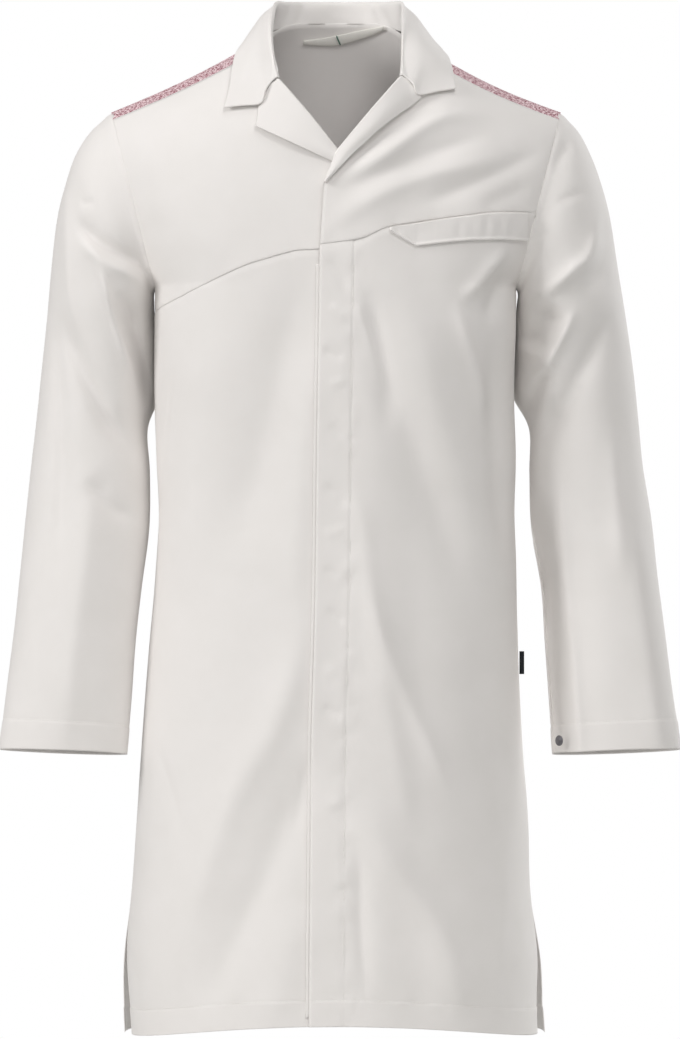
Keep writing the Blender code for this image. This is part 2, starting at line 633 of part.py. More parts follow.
def fly_strip():
    """The inner layer at the lap, between the two fronts, past the fold edge."""
    heights = np.linspace(*FLY_ENDS_Z, FLY_ROWS)
    x = lap_edge_x(heights)[:, None] + np.linspace(*FLY_REACH, FLY_COLUMNS)[None]
    grid = chart(x, np.repeat(heights[:, None], FLY_COLUMNS, axis=1))
    points, normals = torso(grid[..., 0], grid[..., 1], -1, FLY_PLY + FLY_LIFT)
    return wall("fly_strip", points, normals, FLY_PLY)


def lapel(side):
    """A lapel: a sheet from the roll line to its outer edge, lying on the front."""
    left = side > 0
    roll = resample(ROLL_LEFT if left else LAPEL_ROLL_RIGHT, LAPEL_ROWS)
    edge = resample(LAPEL_EDGE_LEFT if left else LAPEL_EDGE_RIGHT, LAPEL_ROWS)
    u = np.array((0.0, 0.12, 0.35, 0.65, 1.0))[None, :, None]
    flat = roll[:, None] * (1.0 - u) + edge[:, None] * u
    grid = chart(flat[..., 0], flat[..., 1])
    swell = LAPEL_SWELL * np.sin(np.pi * u[..., 0]) * np.linspace(1.0, 0.3, LAPEL_ROWS)[:, None]
    lift = PLY + ON_PANEL + yoke_lift(grid[..., 0], grid[..., 1], side) + swell
    points, normals = torso(grid[..., 0], grid[..., 1], -1, lift)
    return wall("lapel_left" if left else "lapel_right", pull_in(points, "top"), normals)


def collar_side(side):
    """One half of the collar's profiles, from the back to its front end."""
    stations = COLLAR_BACK + (COLLAR_LEFT if side > 0 else COLLAR_RIGHT)
    notch = NOTCH_LEFT if side > 0 else NOTCH_RIGHT
    up = np.array((0.0, 0.0, 1.0))
    rows = []
    for k, (nx, nz, rx, ry, rz, ex, ez, face) in enumerate(stations):
        seam_at = chart(side * nx, nz, face)
        neck, neck_out = torso(seam_at[0], seam_at[1], face)
        roll = np.array((side * rx, ry, rz))
        out = np.array((side * rx * 0.9, ry, 0.0)) if k else np.array((0.0, 1.0, 0.0))
        out /= np.linalg.norm(out)
        edge_at = chart(side * ex, ez, face)
        edge, edge_out = torso(edge_at[0], edge_at[1], face)
        front_lift = COLLAR_FRONT_LIFT[side] if face < 0 else 0.0
        edge = edge + edge_out * (COLLAR_PLY + COLLAR_LIFT + front_lift)
        if k < len(stations) - 1:
            inward = np.array((-side, 0.0, 0.0)) * (COLLAR_INSIDE if face < 0 else 0.0)
            neck = neck + inward + up * COLLAR_SEAM_RISE
            roll_in = roll - out * ROLL_RADIUS - up * ROLL_DROP
            roll_out = roll + out * ROLL_RADIUS - up * ROLL_DROP
            middle = 0.5 * (roll_out + edge) + (out + up) * LEAF_SWELL
        else:
            inward = np.array((-side, 0.0, 0.0))
            base = neck + neck_out * yoke_lift(seam_at[0], seam_at[1], side)
            neck, roll_in, roll, roll_out = (
                base + neck_out * lift + inward * step
                for lift, step in (END_SEAM, END_INSIDE, END_ROLL, END_OUTSIDE))
            roll_out = roll_out - up * ROLL_DROP
            notch_at = chart(side * notch[0], notch[1])
            lift = COLLAR_PLY + COLLAR_LIFT + front_lift + yoke_lift(notch_at[0], notch_at[1], side)
            middle, _ = torso(notch_at[0], notch_at[1], -1, lift)
        upper = 0.5 * (roll_out + middle) + (out + up) * COLLAR_SEAM_RISE
        rows.append((neck, 0.5 * (neck + roll_in), roll_in, roll, roll_out, upper, middle,
                     0.5 * (middle + edge), edge))
    return np.array(rows)


def refine(rows, times=2):
    """More rows between the given ones, on cubic curves through them."""
    keys = np.arange(len(rows), dtype=float)
    at = np.linspace(0.0, len(rows) - 1, (len(rows) - 1) * times + 1)
    flat = rows.reshape(len(rows), -1)
    fine = [read(np.stack((keys, flat[:, k]), axis=-1), 1, at) for k in range(flat.shape[1])]
    return np.stack(fine, axis=-1).reshape((len(at),) + rows.shape[1:])


def collar():
    """Stand and fall in one folded wall round the neck, open at the front."""
    right, left = collar_side(-1), collar_side(1)
    rows = pull_in(refine(np.concatenate((right[::-1], left[1:]))), "bottom top")
    normals = grid_normals(rows)
    out = rows[:, -1] - rows[:, 0]
    flip = np.sign(np.sum(normals[len(rows) // 2, -2] * out[len(rows) // 2]))
    return wall("collar", rows, normals * flip, COLLAR_PLY)


def armhole_ring(side):
    """The armhole's edge loop with its mitre normals: up the front, down the back."""
    shares = levels(*range(len(ARMHOLE_LEVELS)))
    front = [torso(np.array(float(side)), np.array(h), -1) for h in shares]
    rear = [torso(np.array(float(side)), np.array(h), 1) for h in shares[-2:0:-1]]
    points, normals = (np.array(part) for part in zip(*(front + rear)))
    _, top_up = ridge(np.linspace(0.9 * side, side, 4))
    normals[len(shares) - 1] = top_up[-1]
    points = points + np.array((side * ARMHOLE_GAP, 0.0, 0.0))
    return points, normals


def sleeve_rings(side):
    """The sleeve's sections below the armhole, each an ellipse through its table row."""
    share = np.array(ARMHOLE_LEVELS)
    around = np.concatenate((share, share[-2:0:-1]))
    face = np.concatenate((-np.ones(len(share)), np.ones(len(share) - 2)))
    rise = 2.0 * around - 1.0
    belly = np.sqrt(np.clip(1.0 - rise ** 2, 0.0, 1.0)) * face
    rings = []
    for ox, oz, ix, iz, depth, middle, lean, out_more, in_more in SLEEVE_SECTIONS:
        if side > 0:
            ox, ix = ox + out_more, ix + in_more
        x = ix + (ox - ix) * around
        tilt = CUFF_TILT * ease((ARMPIT_Z - iz) / CUFF_TILT_RUN)
        z = iz + (oz - iz) * around - belly * depth * tilt
        tail = np.clip(1.0 - around / LEAN_SPAN, 0.0, 1.0) ** LEAN_POWER
        y = middle + belly * depth + lean * tail
        rings.append(np.stack((side * x, y, z), axis=-1))
    return np.array(rings)


def sleeve(side):
    """A sleeve: a tube from the armhole's loop to the cuff."""
    ring, mitre = armhole_ring(side)
    rings = np.concatenate((ring[None], sleeve_rings(side)))
    normals = grid_normals(rings, wrap=True)
    middle = rings.mean(axis=1, keepdims=True)
    flip = np.sign(np.sum(normals[8] * (rings - middle)[8]))
    normals = normals * flip
    normals[0] = mitre
    return wall("sleeve_left" if side > 0 else "sleeve_right", rings, normals, wrap=True)


def pocket_flap():
    """The flap band at the left chest, hanging from the chest seam."""
    x = np.linspace(FLAP_EDGE[0][0], FLAP_END_X, FLAP_COLUMNS)
    top_z = np.interp(x, *sorted_line(YOKE_SEAM_LEFT)) - FLAP_BELOW_SEAM
    low_z = np.minimum(np.interp(x, *sorted_line(FLAP_EDGE)), top_z - FLAP_LEAST)
    v = np.array((0.0, 0.5, 1.0))[:, None]
    z = low_z[None] * (1.0 - v) + top_z[None] * v
    x = np.repeat(x[None], 3, axis=0)
    grid = chart(x, z)
    points, normals = torso(grid[..., 0], grid[..., 1], -1, PLY + ON_PANEL + lap_lift(x))
    return wall("pocket_flap", points, normals)


def hanging_loop():
    """The tape sewn inside the back neck, from one side to the other."""
    (x0, z0), (x1, z1) = LOOP_ENDS
    x, z_low = np.linspace(x0, x1, 9), np.linspace(z0, z1, 9)
    rows = []
    for height in (0.0, LOOP_WIDTH):
        at = chart(x, z_low + height, 1)
        points, normals = torso(at[:, 0], at[:, 1], 1)
        rows.append(points - normals * (PLY + LOOP_INSIDE))
    rows = np.array(rows)
    at = chart(x, z_low, 1)
    normals = np.repeat(torso(at[:, 0], at[:, 1], 1)[1][None], 2, axis=0)
    return wall("hanging_loop", rows, normals, LOOP_PLY)


def disc(name, centre, axis, radius, height, cloth, sides=16):
    """A low button with a chamfered top, standing on its centre along axis."""
    axis = axis / np.linalg.norm(axis)
    first = np.cross(axis, (0.0, 0.0, 1.0))
    first /= np.linalg.norm(first)
    second = np.cross(axis, first)
    turn = np.linspace(0.0, 2.0 * math.pi, sides, endpoint=False)
    circle = np.cos(turn)[:, None] * first + np.sin(turn)[:, None] * second
    verts = np.concatenate([centre + circle * radius * r + axis * height * t for r, t in STUD_PROFILE])
    faces = [tuple(reversed(range(sides))), tuple(range(2 * sides, 3 * sides))]
    for ring in (0, 1):
        for k in range(sides):
            a, b = ring * sides + k, ring * sides + (k + 1) % sides
            faces.append((a, b, b + sides, a + sides))
    return build(name, verts, faces, cloth)


def cuff_stud():
    """The press stud's cap, on the front of the left cuff beside its inner edge."""
    rings = sleeve_rings(1)
    low, high = rings[-1], rings[-2]
    rise = STUD_RISE / abs(high[0, 2] - low[0, 2])
    ring = low * (1.0 - rise) + high * rise
    share = np.array(ARMHOLE_LEVELS)
    point = np.array([np.interp(STUD_SHARE, share, ring[:len(share), k]) for k in range(3)])
    ahead = np.array([np.interp(STUD_SHARE + STUD_SPREAD, share, ring[:len(share), k]) for k in range(3)])
    behind = np.array([np.interp(STUD_SHARE - STUD_SPREAD, share, ring[:len(share), k]) for k in range(3)])
    normal = np.cross(ahead - behind, high[2] - low[2])
    normal *= -np.sign(normal[1])
    normal /= np.linalg.norm(normal)
    metal = material("stud_metal", STUD_METAL, 0.35, 1.0)
    return disc("cuff_stud", point + normal * STUD_OFF, normal, STUD_RADIUS, STUD_HEIGHT, metal)


def side_tab():
    """A plain dark tab caught in the left side seam."""
    width, thick, tall = TAB_SIZE
    centre = np.array((float(read(BODY_SECTIONS, SWAY, TAB_Z) + panel_half(np.array(TAB_Z), 1)), 0.0, TAB_Z))
    centre[0] += TAB_OFF + width / 2.0
    corner = np.array([(i, j, k) for i in (-1, 1) for j in (-1, 1) for k in (-1, 1)]) * 0.5
    verts = centre + corner * np.array((width, thick, tall))
    faces = [(0, 1, 3, 2), (4, 6, 7, 5), (0, 4, 5, 1), (2, 3, 7, 6), (0, 2, 6, 4), (1, 5, 7, 3)]
    return build("side_tab", verts, faces, material("dark_tape", DARK_TAB, 0.7))


def main():
    clear_scene()
    coat = bpy.data.objects.new("coat_origin", None)
    bpy.context.scene.collection.objects.link(coat)
    pieces = [back(), fly_strip(), collar(), pocket_flap(), hanging_loop(), cuff_stud(), side_tab()]
    for side in (-1, 1):
        pieces += [lower_front(side), yoke(side), shoulder_insert(side), lapel(side), sleeve(side)]
    for piece in pieces:
        piece.parent = coat


main()
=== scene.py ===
import json
import math
import bmesh
import bpy
import numpy as np
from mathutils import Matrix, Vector

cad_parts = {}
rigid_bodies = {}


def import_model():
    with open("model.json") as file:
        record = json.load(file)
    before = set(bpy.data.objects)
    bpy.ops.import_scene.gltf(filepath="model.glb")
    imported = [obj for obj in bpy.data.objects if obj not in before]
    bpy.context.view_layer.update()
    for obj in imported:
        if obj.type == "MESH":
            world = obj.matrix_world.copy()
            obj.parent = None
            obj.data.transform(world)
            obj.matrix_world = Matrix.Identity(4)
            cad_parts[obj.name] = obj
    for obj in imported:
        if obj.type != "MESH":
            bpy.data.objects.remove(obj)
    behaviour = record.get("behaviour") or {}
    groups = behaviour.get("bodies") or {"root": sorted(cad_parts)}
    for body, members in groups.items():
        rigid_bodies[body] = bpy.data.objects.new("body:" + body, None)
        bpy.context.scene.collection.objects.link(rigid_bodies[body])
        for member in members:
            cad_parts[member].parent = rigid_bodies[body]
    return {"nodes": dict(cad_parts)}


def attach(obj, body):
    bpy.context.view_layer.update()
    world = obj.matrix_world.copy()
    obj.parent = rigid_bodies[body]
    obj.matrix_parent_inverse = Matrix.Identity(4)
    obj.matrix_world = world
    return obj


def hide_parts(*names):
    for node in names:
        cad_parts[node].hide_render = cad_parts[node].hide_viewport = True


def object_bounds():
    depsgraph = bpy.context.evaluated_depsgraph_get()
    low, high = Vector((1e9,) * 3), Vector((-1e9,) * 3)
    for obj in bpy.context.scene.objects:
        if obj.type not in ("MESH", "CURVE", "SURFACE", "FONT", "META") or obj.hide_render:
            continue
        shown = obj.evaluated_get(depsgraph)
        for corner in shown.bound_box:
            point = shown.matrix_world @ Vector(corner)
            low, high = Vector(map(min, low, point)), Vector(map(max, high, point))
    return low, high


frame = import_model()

cadLow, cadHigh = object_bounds()
print("frame loaded,", len(frame["nodes"]), "CAD pieces")

# The coat's body as it was cut and filled out; x is the wearer's left, the coat faces -y
body = {
    "hemZ": -1.035,
    "frontHemRise": 0.020,
    "ventTopZ": -0.895,
    "armpitZ": -0.253,
    "shoulderZ": -0.070,
    "shoulderX": 0.235,
    "neckX": 0.078,
    "neckZ": 0.008,
    "neckRise": {-1: 0.014, 1: 0.026},
    "neckRound": {-1: 2.0, 1: 4.0},
    "neckDepthShare": {-1: 0.49, 1: 0.42},
    "neckClosePower": 1.5,
    "shoulderSlope": 0.49,
    "shoulderDip": {-1: 0.0040, 1: 0.0065},
    "waistPower": 2.3,
    "chestPower": 2.75,
    "chestFromZ": -0.420,
    "chestFlare": 0.115,
    "chestClose": 0.045,
    "ventStepIn": 0.008,
    "ventOpen": 0.0035,
    "yokeLevel": 0.37,
    "insertLevel": 0.94,
    "backInsertLevel": 0.89,
    "rearSeamNeck": 0.985,
    "rearSeamRun": 0.30,
    "ply": 0.0008,
    "backFoldGain": 1.35,
    "hemHalfX": 0.215,
    "pastSideX": 0.25,
    "drapeHalfX": 0.24,
    "drapeRadius": 0.20,
    "calmSpan": 0.3,
}

# Each uneven surface's own random start
seeds = {"drape": {-1: 11, 1: 23}, "hem": {1: 31, -1: 37}, "placket": 41, "chest": 47, "backHem": 53,
         "sleeve": {1: 61, -1: 71}, "cuff": 83, "flap": 91}

# height, sway to the left, half-width, depth forward and depth back of the side seam
bodySections = np.array((
    (-1.035, -0.0014, 0.2204, 0.136, 0.131),
    (-1.010, -0.0027, 0.2201, 0.135, 0.131),
    (-0.959, -0.0040, 0.2188, 0.134, 0.130),
    (-0.896, -0.0053, 0.2100, 0.131, 0.127),
    (-0.812, -0.0037, 0.2053, 0.127, 0.122),
    (-0.749, -0.0038, 0.2012, 0.124, 0.118),
    (-0.633, -0.0026, 0.1937, 0.118, 0.111),
    (-0.547, 0.0000, 0.1885, 0.115, 0.105),
    (-0.497, 0.0016, 0.1864, 0.114, 0.103),
    (-0.434, 0.0010, 0.1888, 0.116, 0.103),
    (-0.371, -0.0010, 0.1890, 0.119, 0.106),
    (-0.253, 0.0000, 0.1898, 0.122, 0.113),
))

# Creases of the fronts: the line (x, z), half-width, height; a minus height is a trough
frontCreases = (
    (((-0.120, -0.266), (-0.138, -0.371), (-0.150, -0.497), (-0.155, -0.581)), 0.036, 0.0055),
    (((-0.032, -0.226), (-0.046, -0.297), (-0.064, -0.371), (-0.085, -0.455), (-0.109, -0.539)), 0.034, -0.0075),
    (((-0.019, -0.297), (-0.032, -0.423), (-0.042, -0.539), (-0.038, -0.623)), 0.020, 0.0035),
    (((-0.025, -0.570), (-0.058, -0.698), (-0.105, -0.781), (-0.133, -0.860), (-0.164, -0.964)), 0.024, 0.0080),
    (((-0.023, -0.728), (-0.065, -0.843), (-0.092, -0.901), (-0.118, -0.959), (-0.141, -1.011)), 0.026, -0.0070),
    (((-0.036, -0.885), (-0.055, -0.959), (-0.076, -1.032)), 0.028, 0.0040),
    (((-0.190, -0.723), (-0.165, -0.795), (-0.159, -0.838)), 0.006, -0.0013),
    (((-0.219, -0.939), (-0.202, -0.988)), 0.006, -0.0013),
    (((-0.026, -0.731), (-0.037, -0.795), (-0.045, -0.822)), 0.007, -0.0018),
    (((-0.108, -0.509), (-0.083, -0.508)), 0.0025, -0.0006),
    (((0.062, -0.226), (0.080, -0.308), (0.111, -0.402), (0.147, -0.497), (0.170, -0.600)), 0.030, 0.0065),
    (((0.025, -0.266), (0.048, -0.329), (0.072, -0.402), (0.096, -0.465), (0.140, -0.581)), 0.022, -0.0050),
    (((0.032, -0.255), (0.046, -0.330), (0.056, -0.410)), 0.013, -0.0055),
    (((0.015, -0.444), (0.027, -0.497), (0.032, -0.549), (0.044, -0.623), (0.059, -0.686)), 0.014, 0.0035),
    (((0.122, -0.269), (0.133, -0.308), (0.148, -0.357), (0.153, -0.402)), 0.010, 0.0050),
    (((0.180, -0.212), (0.158, -0.238), (0.143, -0.257), (0.127, -0.273)), 0.009, 0.0060),
    (((0.188, -0.238), (0.168, -0.262), (0.157, -0.295)), 0.012, -0.0065),
    (((0.160, -0.289), (0.164, -0.330), (0.168, -0.420), (0.174, -0.540)), 0.018, -0.0070),
    (((0.009, -0.789), (0.046, -0.838), (0.082, -0.885), (0.113, -0.939), (0.132, -1.032)), 0.026, 0.0075),
    (((0.038, -0.623), (0.052, -0.686), (0.065, -0.759), (0.078, -0.822)), 0.020, 0.0040),
    (((0.141, -0.623), (0.164, -0.707), (0.172, -0.791)), 0.028, -0.0045),
    (((0.014, -0.817), (0.024, -0.853), (0.026, -0.924), (0.033, -0.992)), 0.010, -0.0034),
    (((0.178, -0.822), (0.170, -0.938), (0.164, -1.022)), 0.012, 0.0016),
    (((-0.010, -0.201), (0.025, -0.175), (0.088, -0.146), (0.172, -0.124)), 0.012, 0.0045),
    (((0.081, -0.174), (0.124, -0.158), (0.164, -0.140), (0.217, -0.113)), 0.012, -0.0050),
    (((-0.006, -0.167), (0.036, -0.146), (0.099, -0.119), (0.162, -0.098)), 0.012, -0.0045),
    (((0.006, -0.152), (0.057, -0.119), (0.092, -0.092), (0.120, -0.081), (0.160, -0.083)), 0.011, 0.0062),
    (((0.0000, -0.138), (0.0285, -0.116), (0.0561, -0.092), (0.0860, -0.068), (0.1180, -0.061)), 0.010, -0.0085),
    (((0.150, -0.176), (0.182, -0.161), (0.204, -0.150)), 0.012, -0.0030),
    (((-0.195, -0.150), (-0.143, -0.203), (-0.101, -0.226)), 0.030, 0.0022),
    (((-0.197, -0.129), (-0.193, -0.171), (-0.180, -0.213)), 0.014, -0.0015),
    (((-0.168, -0.346), (-0.176, -0.417)), 0.0018, -0.0010),
    (((-0.012, -0.230), (0.002, -0.242), (0.013, -0.264)), 0.0055, -0.0020),
    (((-0.006, -0.276), (0.011, -0.292)), 0.0050, 0.0014),
    (((-0.014, -0.322), (0.008, -0.332)), 0.0055, -0.0018),
    (((-0.008, -0.360), (0.012, -0.352)), 0.0055, 0.0012),
    (((-0.006, -0.398), (0.008, -0.414)), 0.0050, -0.0013),
    (((-0.014, -0.462), (0.002, -0.470), (0.012, -0.486)), 0.0060, -0.0017),
    (((-0.012, -0.514), (0.010, -0.505)), 0.0055, 0.0013),
    (((-0.012, -0.546), (0.004, -0.555)), 0.0045, -0.0014),
    (((-0.010, -0.588), (0.010, -0.603)), 0.0055, -0.0016),
    (((-0.014, -0.650), (0.001, -0.655), (0.012, -0.670)), 0.0060, 0.0016),
    (((-0.014, -0.688), (0.008, -0.700)), 0.0060, -0.0017),
    (((-0.012, -0.792), (0.010, -0.781)), 0.0060, 0.0012),
    (((0.019, -0.262), (0.027, -0.290), (0.040, -0.330), (0.052, -0.378)), 0.008, 0.0030),
    (((0.027, -0.552), (0.045, -0.610), (0.066, -0.665), (0.095, -0.730), (0.122, -0.785)), 0.013, 0.0050),
)

backCreases = (
    (((-0.070, -0.150), (-0.095, -0.290), (-0.120, -0.430), (-0.128, -0.540)), 0.032, -0.0055),
    (((0.062, -0.160), (0.090, -0.300), (0.118, -0.440), (0.125, -0.560)), 0.034, -0.0060),
    (((-0.010, -0.250), (0.004, -0.420), (-0.016, -0.600)), 0.034, 0.0040),
    (((0.020, -0.520), (-0.012, -0.700), (-0.040, -0.860), (-0.052, -1.030)), 0.030, 0.0070),
    (((0.082, -0.560), (0.112, -0.720), (0.132, -0.880), (0.140, -1.032)), 0.028, 0.0065),
    (((-0.098, -0.600), (-0.122, -0.760), (-0.134, -0.900), (-0.140, -1.032)), 0.028, 0.0060),
    (((0.046, -0.600), (0.060, -0.760), (0.058, -0.900), (0.048, -1.032)), 0.024, -0.0055),
    (((-0.066, -0.640), (-0.088, -0.800), (-0.094, -0.930), (-0.100, -1.032)), 0.024, -0.0055),
    (((-0.185, -0.130), (-0.150, -0.200), (-0.080, -0.240)), 0.014, -0.0028),
    (((0.188, -0.120), (0.150, -0.190), (0.085, -0.225)), 0.014, -0.0030),
    (((-0.150, -0.440), (-0.100, -0.470), (-0.050, -0.476)), 0.012, -0.0020),
    (((0.155, -0.430), (0.110, -0.468), (0.046, -0.480)), 0.012, -0.0022),
    (((0.170, -0.760), (0.178, -0.880), (0.176, -1.000)), 0.014, -0.0020),
)

# Seams and edges as lines of (x, z)
yokeSeamRight = ((-0.250, -0.306), (-0.1733, -0.2725), (-0.1327, -0.2537), (-0.0954, -0.2370),
                 (-0.0675, -0.2282), (-0.0410, -0.2212), (-0.0224, -0.2202), (0.0300, -0.2170))
yokeSeamLeft = ((-0.0350, -0.2165), (-0.0163, -0.2151), (0.0257, -0.2090), (0.0524, -0.1974),
                (0.0800, -0.1925), (0.1076, -0.1878), (0.1344, -0.1840), (0.1720, -0.1795),
                (0.2500, -0.1795))
rightSeamSideZ = -0.276
lapEdge = ((-0.0275, -1.040), (-0.0275, -1.010), (-0.0265, -0.856), (-0.0255, -0.735),
           (-0.0214, -0.585), (-0.0193, -0.395), (-0.0163, -0.213), (-0.0122, -0.1516))
lap = {"underX": 0.022, "lift": 0.0048, "fullX": 0.034, "endX": 0.090, "topH": -0.030, "fade": 0.12,
       "placket": 0.0345, "chestZ": -0.2151}


def ease(share):  # a smooth step from 0 to 1
    share = np.clip(share, 0.0, 1.0)
    return share * share * (3.0 - 2.0 * share)


def readTable(table, column, at):
    # one column at any key, on the cubic curve whose slopes are those of the rows beside it
    keys, values = table[:, 0], table[:, column]
    slopes = np.gradient(values, keys)
    row = np.clip(np.searchsorted(keys, at) - 1, 0, len(keys) - 2)
    span = keys[row + 1] - keys[row]
    t = np.clip((at - keys[row]) / span, 0.0, 1.0)
    rising = t * t * (3.0 - 2.0 * t)
    leave, arrive = t * (1.0 - t) ** 2 * span, t * t * (t - 1.0) * span
    between = (1.0 - rising) * values[row] + rising * values[row + 1]
    return between + leave * slopes[row] + arrive * slopes[row + 1]


def shoulderTop(x, face):  # height of the shoulder line, and of the neck line inside it
    reach = np.abs(x)
    run = np.clip((reach - body["neckX"]) / (body["shoulderX"] - body["neckX"]), 0.0, 1.0)
    dip = np.where(np.asarray(x) > 0.0, body["shoulderDip"][1], body["shoulderDip"][-1]) * np.sin(math.pi * run)
    outside = body["neckZ"] - (reach - body["neckX"]) * body["shoulderSlope"] - dip
    inside = body["neckZ"] + body["neckRise"][face] * (1.0 - (reach / body["neckX"]) ** body["neckRound"][face])
    return np.where(reach > body["neckX"], outside, inside)


def armholeShare(h):  # 0 at the armpit and below, 1 at the shoulder
    return np.clip((h - body["armpitZ"]) / (body["shoulderZ"] - body["armpitZ"]), 0.0, 1.0)


def levelAt(share):
    return body["armpitZ"] + share * (body["shoulderZ"] - body["armpitZ"])


def ventShare(h):
    return ease((body["ventTopZ"] - h) / (body["ventTopZ"] - body["hemZ"]))


def panelHalf(h, face):
    low = np.minimum(h, body["armpitZ"])
    half = readTable(bodySections, 2, low)
    half = half + armholeShare(h) * (body["shoulderX"] - half)
    return half - (body["ventStepIn"] * ventShare(low) if face < 0 else 0.0)


def bareBody(p, h, face):
    # p goes from the right side seam (-1) to the left one (1) and h up the coat. Each level is
    # x = sway + half sin(p 90 deg), y = depth (1 - |x|^n)^(1/n), closing over the shoulder
    share, low = armholeShare(h), np.minimum(h, body["armpitZ"])
    edge, side = panelHalf(h, face), np.sin(p * math.pi / 2.0)
    x = readTable(bodySections, 1, low) + edge * side
    armpitHalf = bodySections[-1, 2]
    swell = edge + share * (body["chestFlare"] - (body["shoulderX"] - armpitHalf))
    swell = swell - body["chestClose"] * share ** 2
    chest = ease((low - body["chestFromZ"]) / (body["armpitZ"] - body["chestFromZ"]))
    power = body["waistPower"] + (body["chestPower"] - body["waistPower"]) * chest
    reach = np.clip(np.abs(edge * side) / swell, 0.0, 1.0)
    roundOff = (1.0 - reach ** power) ** (1.0 / power)
    neck = np.clip(1.0 - (x / body["neckX"]) ** 2, 0.0, 1.0) ** body["neckClosePower"]
    closed = np.sqrt(np.clip(1.0 - share ** 3 * (1.0 - body["neckDepthShare"][face] * neck), 0.0, 1.0))
    depth = readTable(bodySections, 3 if face < 0 else 4, low)
    y = face * (depth * roundOff * closed + body["ventOpen"] * ventShare(low) * np.abs(p) ** 6)
    return np.stack((x, y, low + share * (shoulderTop(x, face) - body["armpitZ"])), axis=-1)


def bodyNormal(p, h, face):
    # square to the surface, but in the armhole's own plane at its edge, where the sleeve joins
    step = 1e-3
    across = bareBody(np.minimum(p + step, 1.0), h, face) - bareBody(np.maximum(p - step, -1.0), h, face)
    up = bareBody(p, h + step, face) - bareBody(p, h - step, face)
    normal = np.cross(across, up) * -face
    normal /= np.linalg.norm(normal, axis=-1, keepdims=True)
    ring = bareBody(p, h, face)
    middle = 0.5 * (body["armpitZ"] + body["shoulderZ"])
    ring = np.stack((np.zeros_like(ring[..., 0]), ring[..., 1], ring[..., 2] - middle), axis=-1)
    ring /= np.linalg.norm(ring, axis=-1, keepdims=True)
    mitre = (ease((np.abs(p) - 0.96) / 0.04) * (h > body["armpitZ"] - 1e-6))[..., None]
    normal = normal * (1.0 - mitre) + ring * mitre
    return normal / np.linalg.norm(normal, axis=-1, keepdims=True)


def chart(x, z, face=-1):  # the (p, h) of a place seen from the front
    x, z = np.asarray(x, dtype=float), np.asarray(z, dtype=float)
    share = np.clip((z - body["armpitZ"]) / (shoulderTop(x, face) - body["armpitZ"]), 0.0, 1.0)
    h = np.where(z > body["armpitZ"], levelAt(share), z)
    side = (x - readTable(bodySections, 1, np.minimum(h, body["armpitZ"]))) / panelHalf(h, face)
    return np.stack((np.arcsin(np.clip(side, -1.0, 1.0)) * 2.0 / math.pi, h), axis=-1)


def lengthsAlong(line):  # metres from a line's first point to each of its points
    return np.concatenate(([0.0], np.cumsum(np.linalg.norm(np.diff(line, axis=0), axis=1))))


def readAlong(line, run, at):  # a line's points at metres from its start
    return np.stack([np.interp(at, run, line[:, k]) for k in range(line.shape[1])], axis=-1)


def straightLine(points, count):  # a polyline read at even steps of its length
    line = np.array(points)
    run = lengthsAlong(line)
    return readAlong(line, run, np.linspace(0.0, run[-1], count))


def smoothLine(points, count):
    # points joined by cubic curves, read at even steps of its length
    points = np.array(points, dtype=float)
    keys = np.arange(len(points), dtype=float)
    dense = np.linspace(0.0, len(points) - 1, 40 * len(points))
    table = np.concatenate((keys[:, None], points), axis=1)
    line = np.stack([readTable(table, k + 1, dense) for k in range(points.shape[1])], axis=-1)
    return straightLine(line, count)


def nearLine(x, z, line):
    # signed distance to a line, and how far along it the nearest place is, in metres
    best, side, along = np.full(np.shape(x), 1e9), np.ones(np.shape(x)), np.zeros(np.shape(x))
    run = 0.0
    for (ax, az), (bx, bz) in zip(line[:-1], line[1:]):
        sx, sz = bx - ax, bz - az
        length = math.hypot(sx, sz)
        t = np.clip(((x - ax) * sx + (z - az) * sz) / length ** 2, 0.0, 1.0)
        dx, dz = x - ax - t * sx, z - az - t * sz
        gap = np.hypot(dx, dz)
        closer = gap < best
        best = np.where(closer, gap, best)
        side = np.where(closer, np.sign(dx * sz - dz * sx), side)
        along = np.where(closer, run + t * length, along)
        run += length
    return best * side, along, run


def creaseField(x, z, creases):
    # sum of creases: height / (1 + (distance / width)^2)^1.5, faded over the ends of each line
    total = np.zeros(np.shape(x))
    for path, width, height in creases:
        away, along, length = nearLine(x, z, smoothLine(path, 12))
        fade = ease(0.15 + along / (0.35 * length)) * ease(0.15 + (length - along) / (0.35 * length))
        total += height * fade / (1.0 + (away / width) ** 2) ** 1.5
    return total


def softNoise(u, v, cellU, cellV, seed):
    # random heights on a lattice of cells, joined by smooth steps; -1 to 1
    rng = np.random.default_rng(seed)
    table = rng.uniform(-1.0, 1.0, (64, 64))
    a, b = u / cellU, v / cellV
    ia, ib = np.floor(a).astype(int), np.floor(b).astype(int)
    fa, fb = ease(a - ia), ease(b - ib)
    ia, ib, ja, jb = ia % 64, ib % 64, (ia + 1) % 64, (ib + 1) % 64
    low = table[ia, ib] * (1 - fa) + table[ja, ib] * fa
    return low * (1 - fb) + (table[ia, jb] * (1 - fa) + table[ja, jb] * fa) * fb


cloth = {"stepWidth": 0.002, "drapeCell": (0.055, 0.16), "drapeHeight": 0.0011, "rumpleCell": 0.020,
         "rumpleHeight": 0.00022}


def drape(u, v, seed):
    # the cloth's own unevenness: long soft waves down the grain and small rumples on them
    wave = softNoise(u + 0.25 * v, v, *cloth["drapeCell"], seed) * cloth["drapeHeight"]
    cell = cloth["rumpleCell"]
    return wave + softNoise(u - 0.4 * v, v, cell, cell * 1.6, seed + 1) * cloth["rumpleHeight"]


def stepShare(over):  # 0 below a stitched edge, 1 above it, smooth over the step's width
    return ease(over / cloth["stepWidth"] + 0.5)


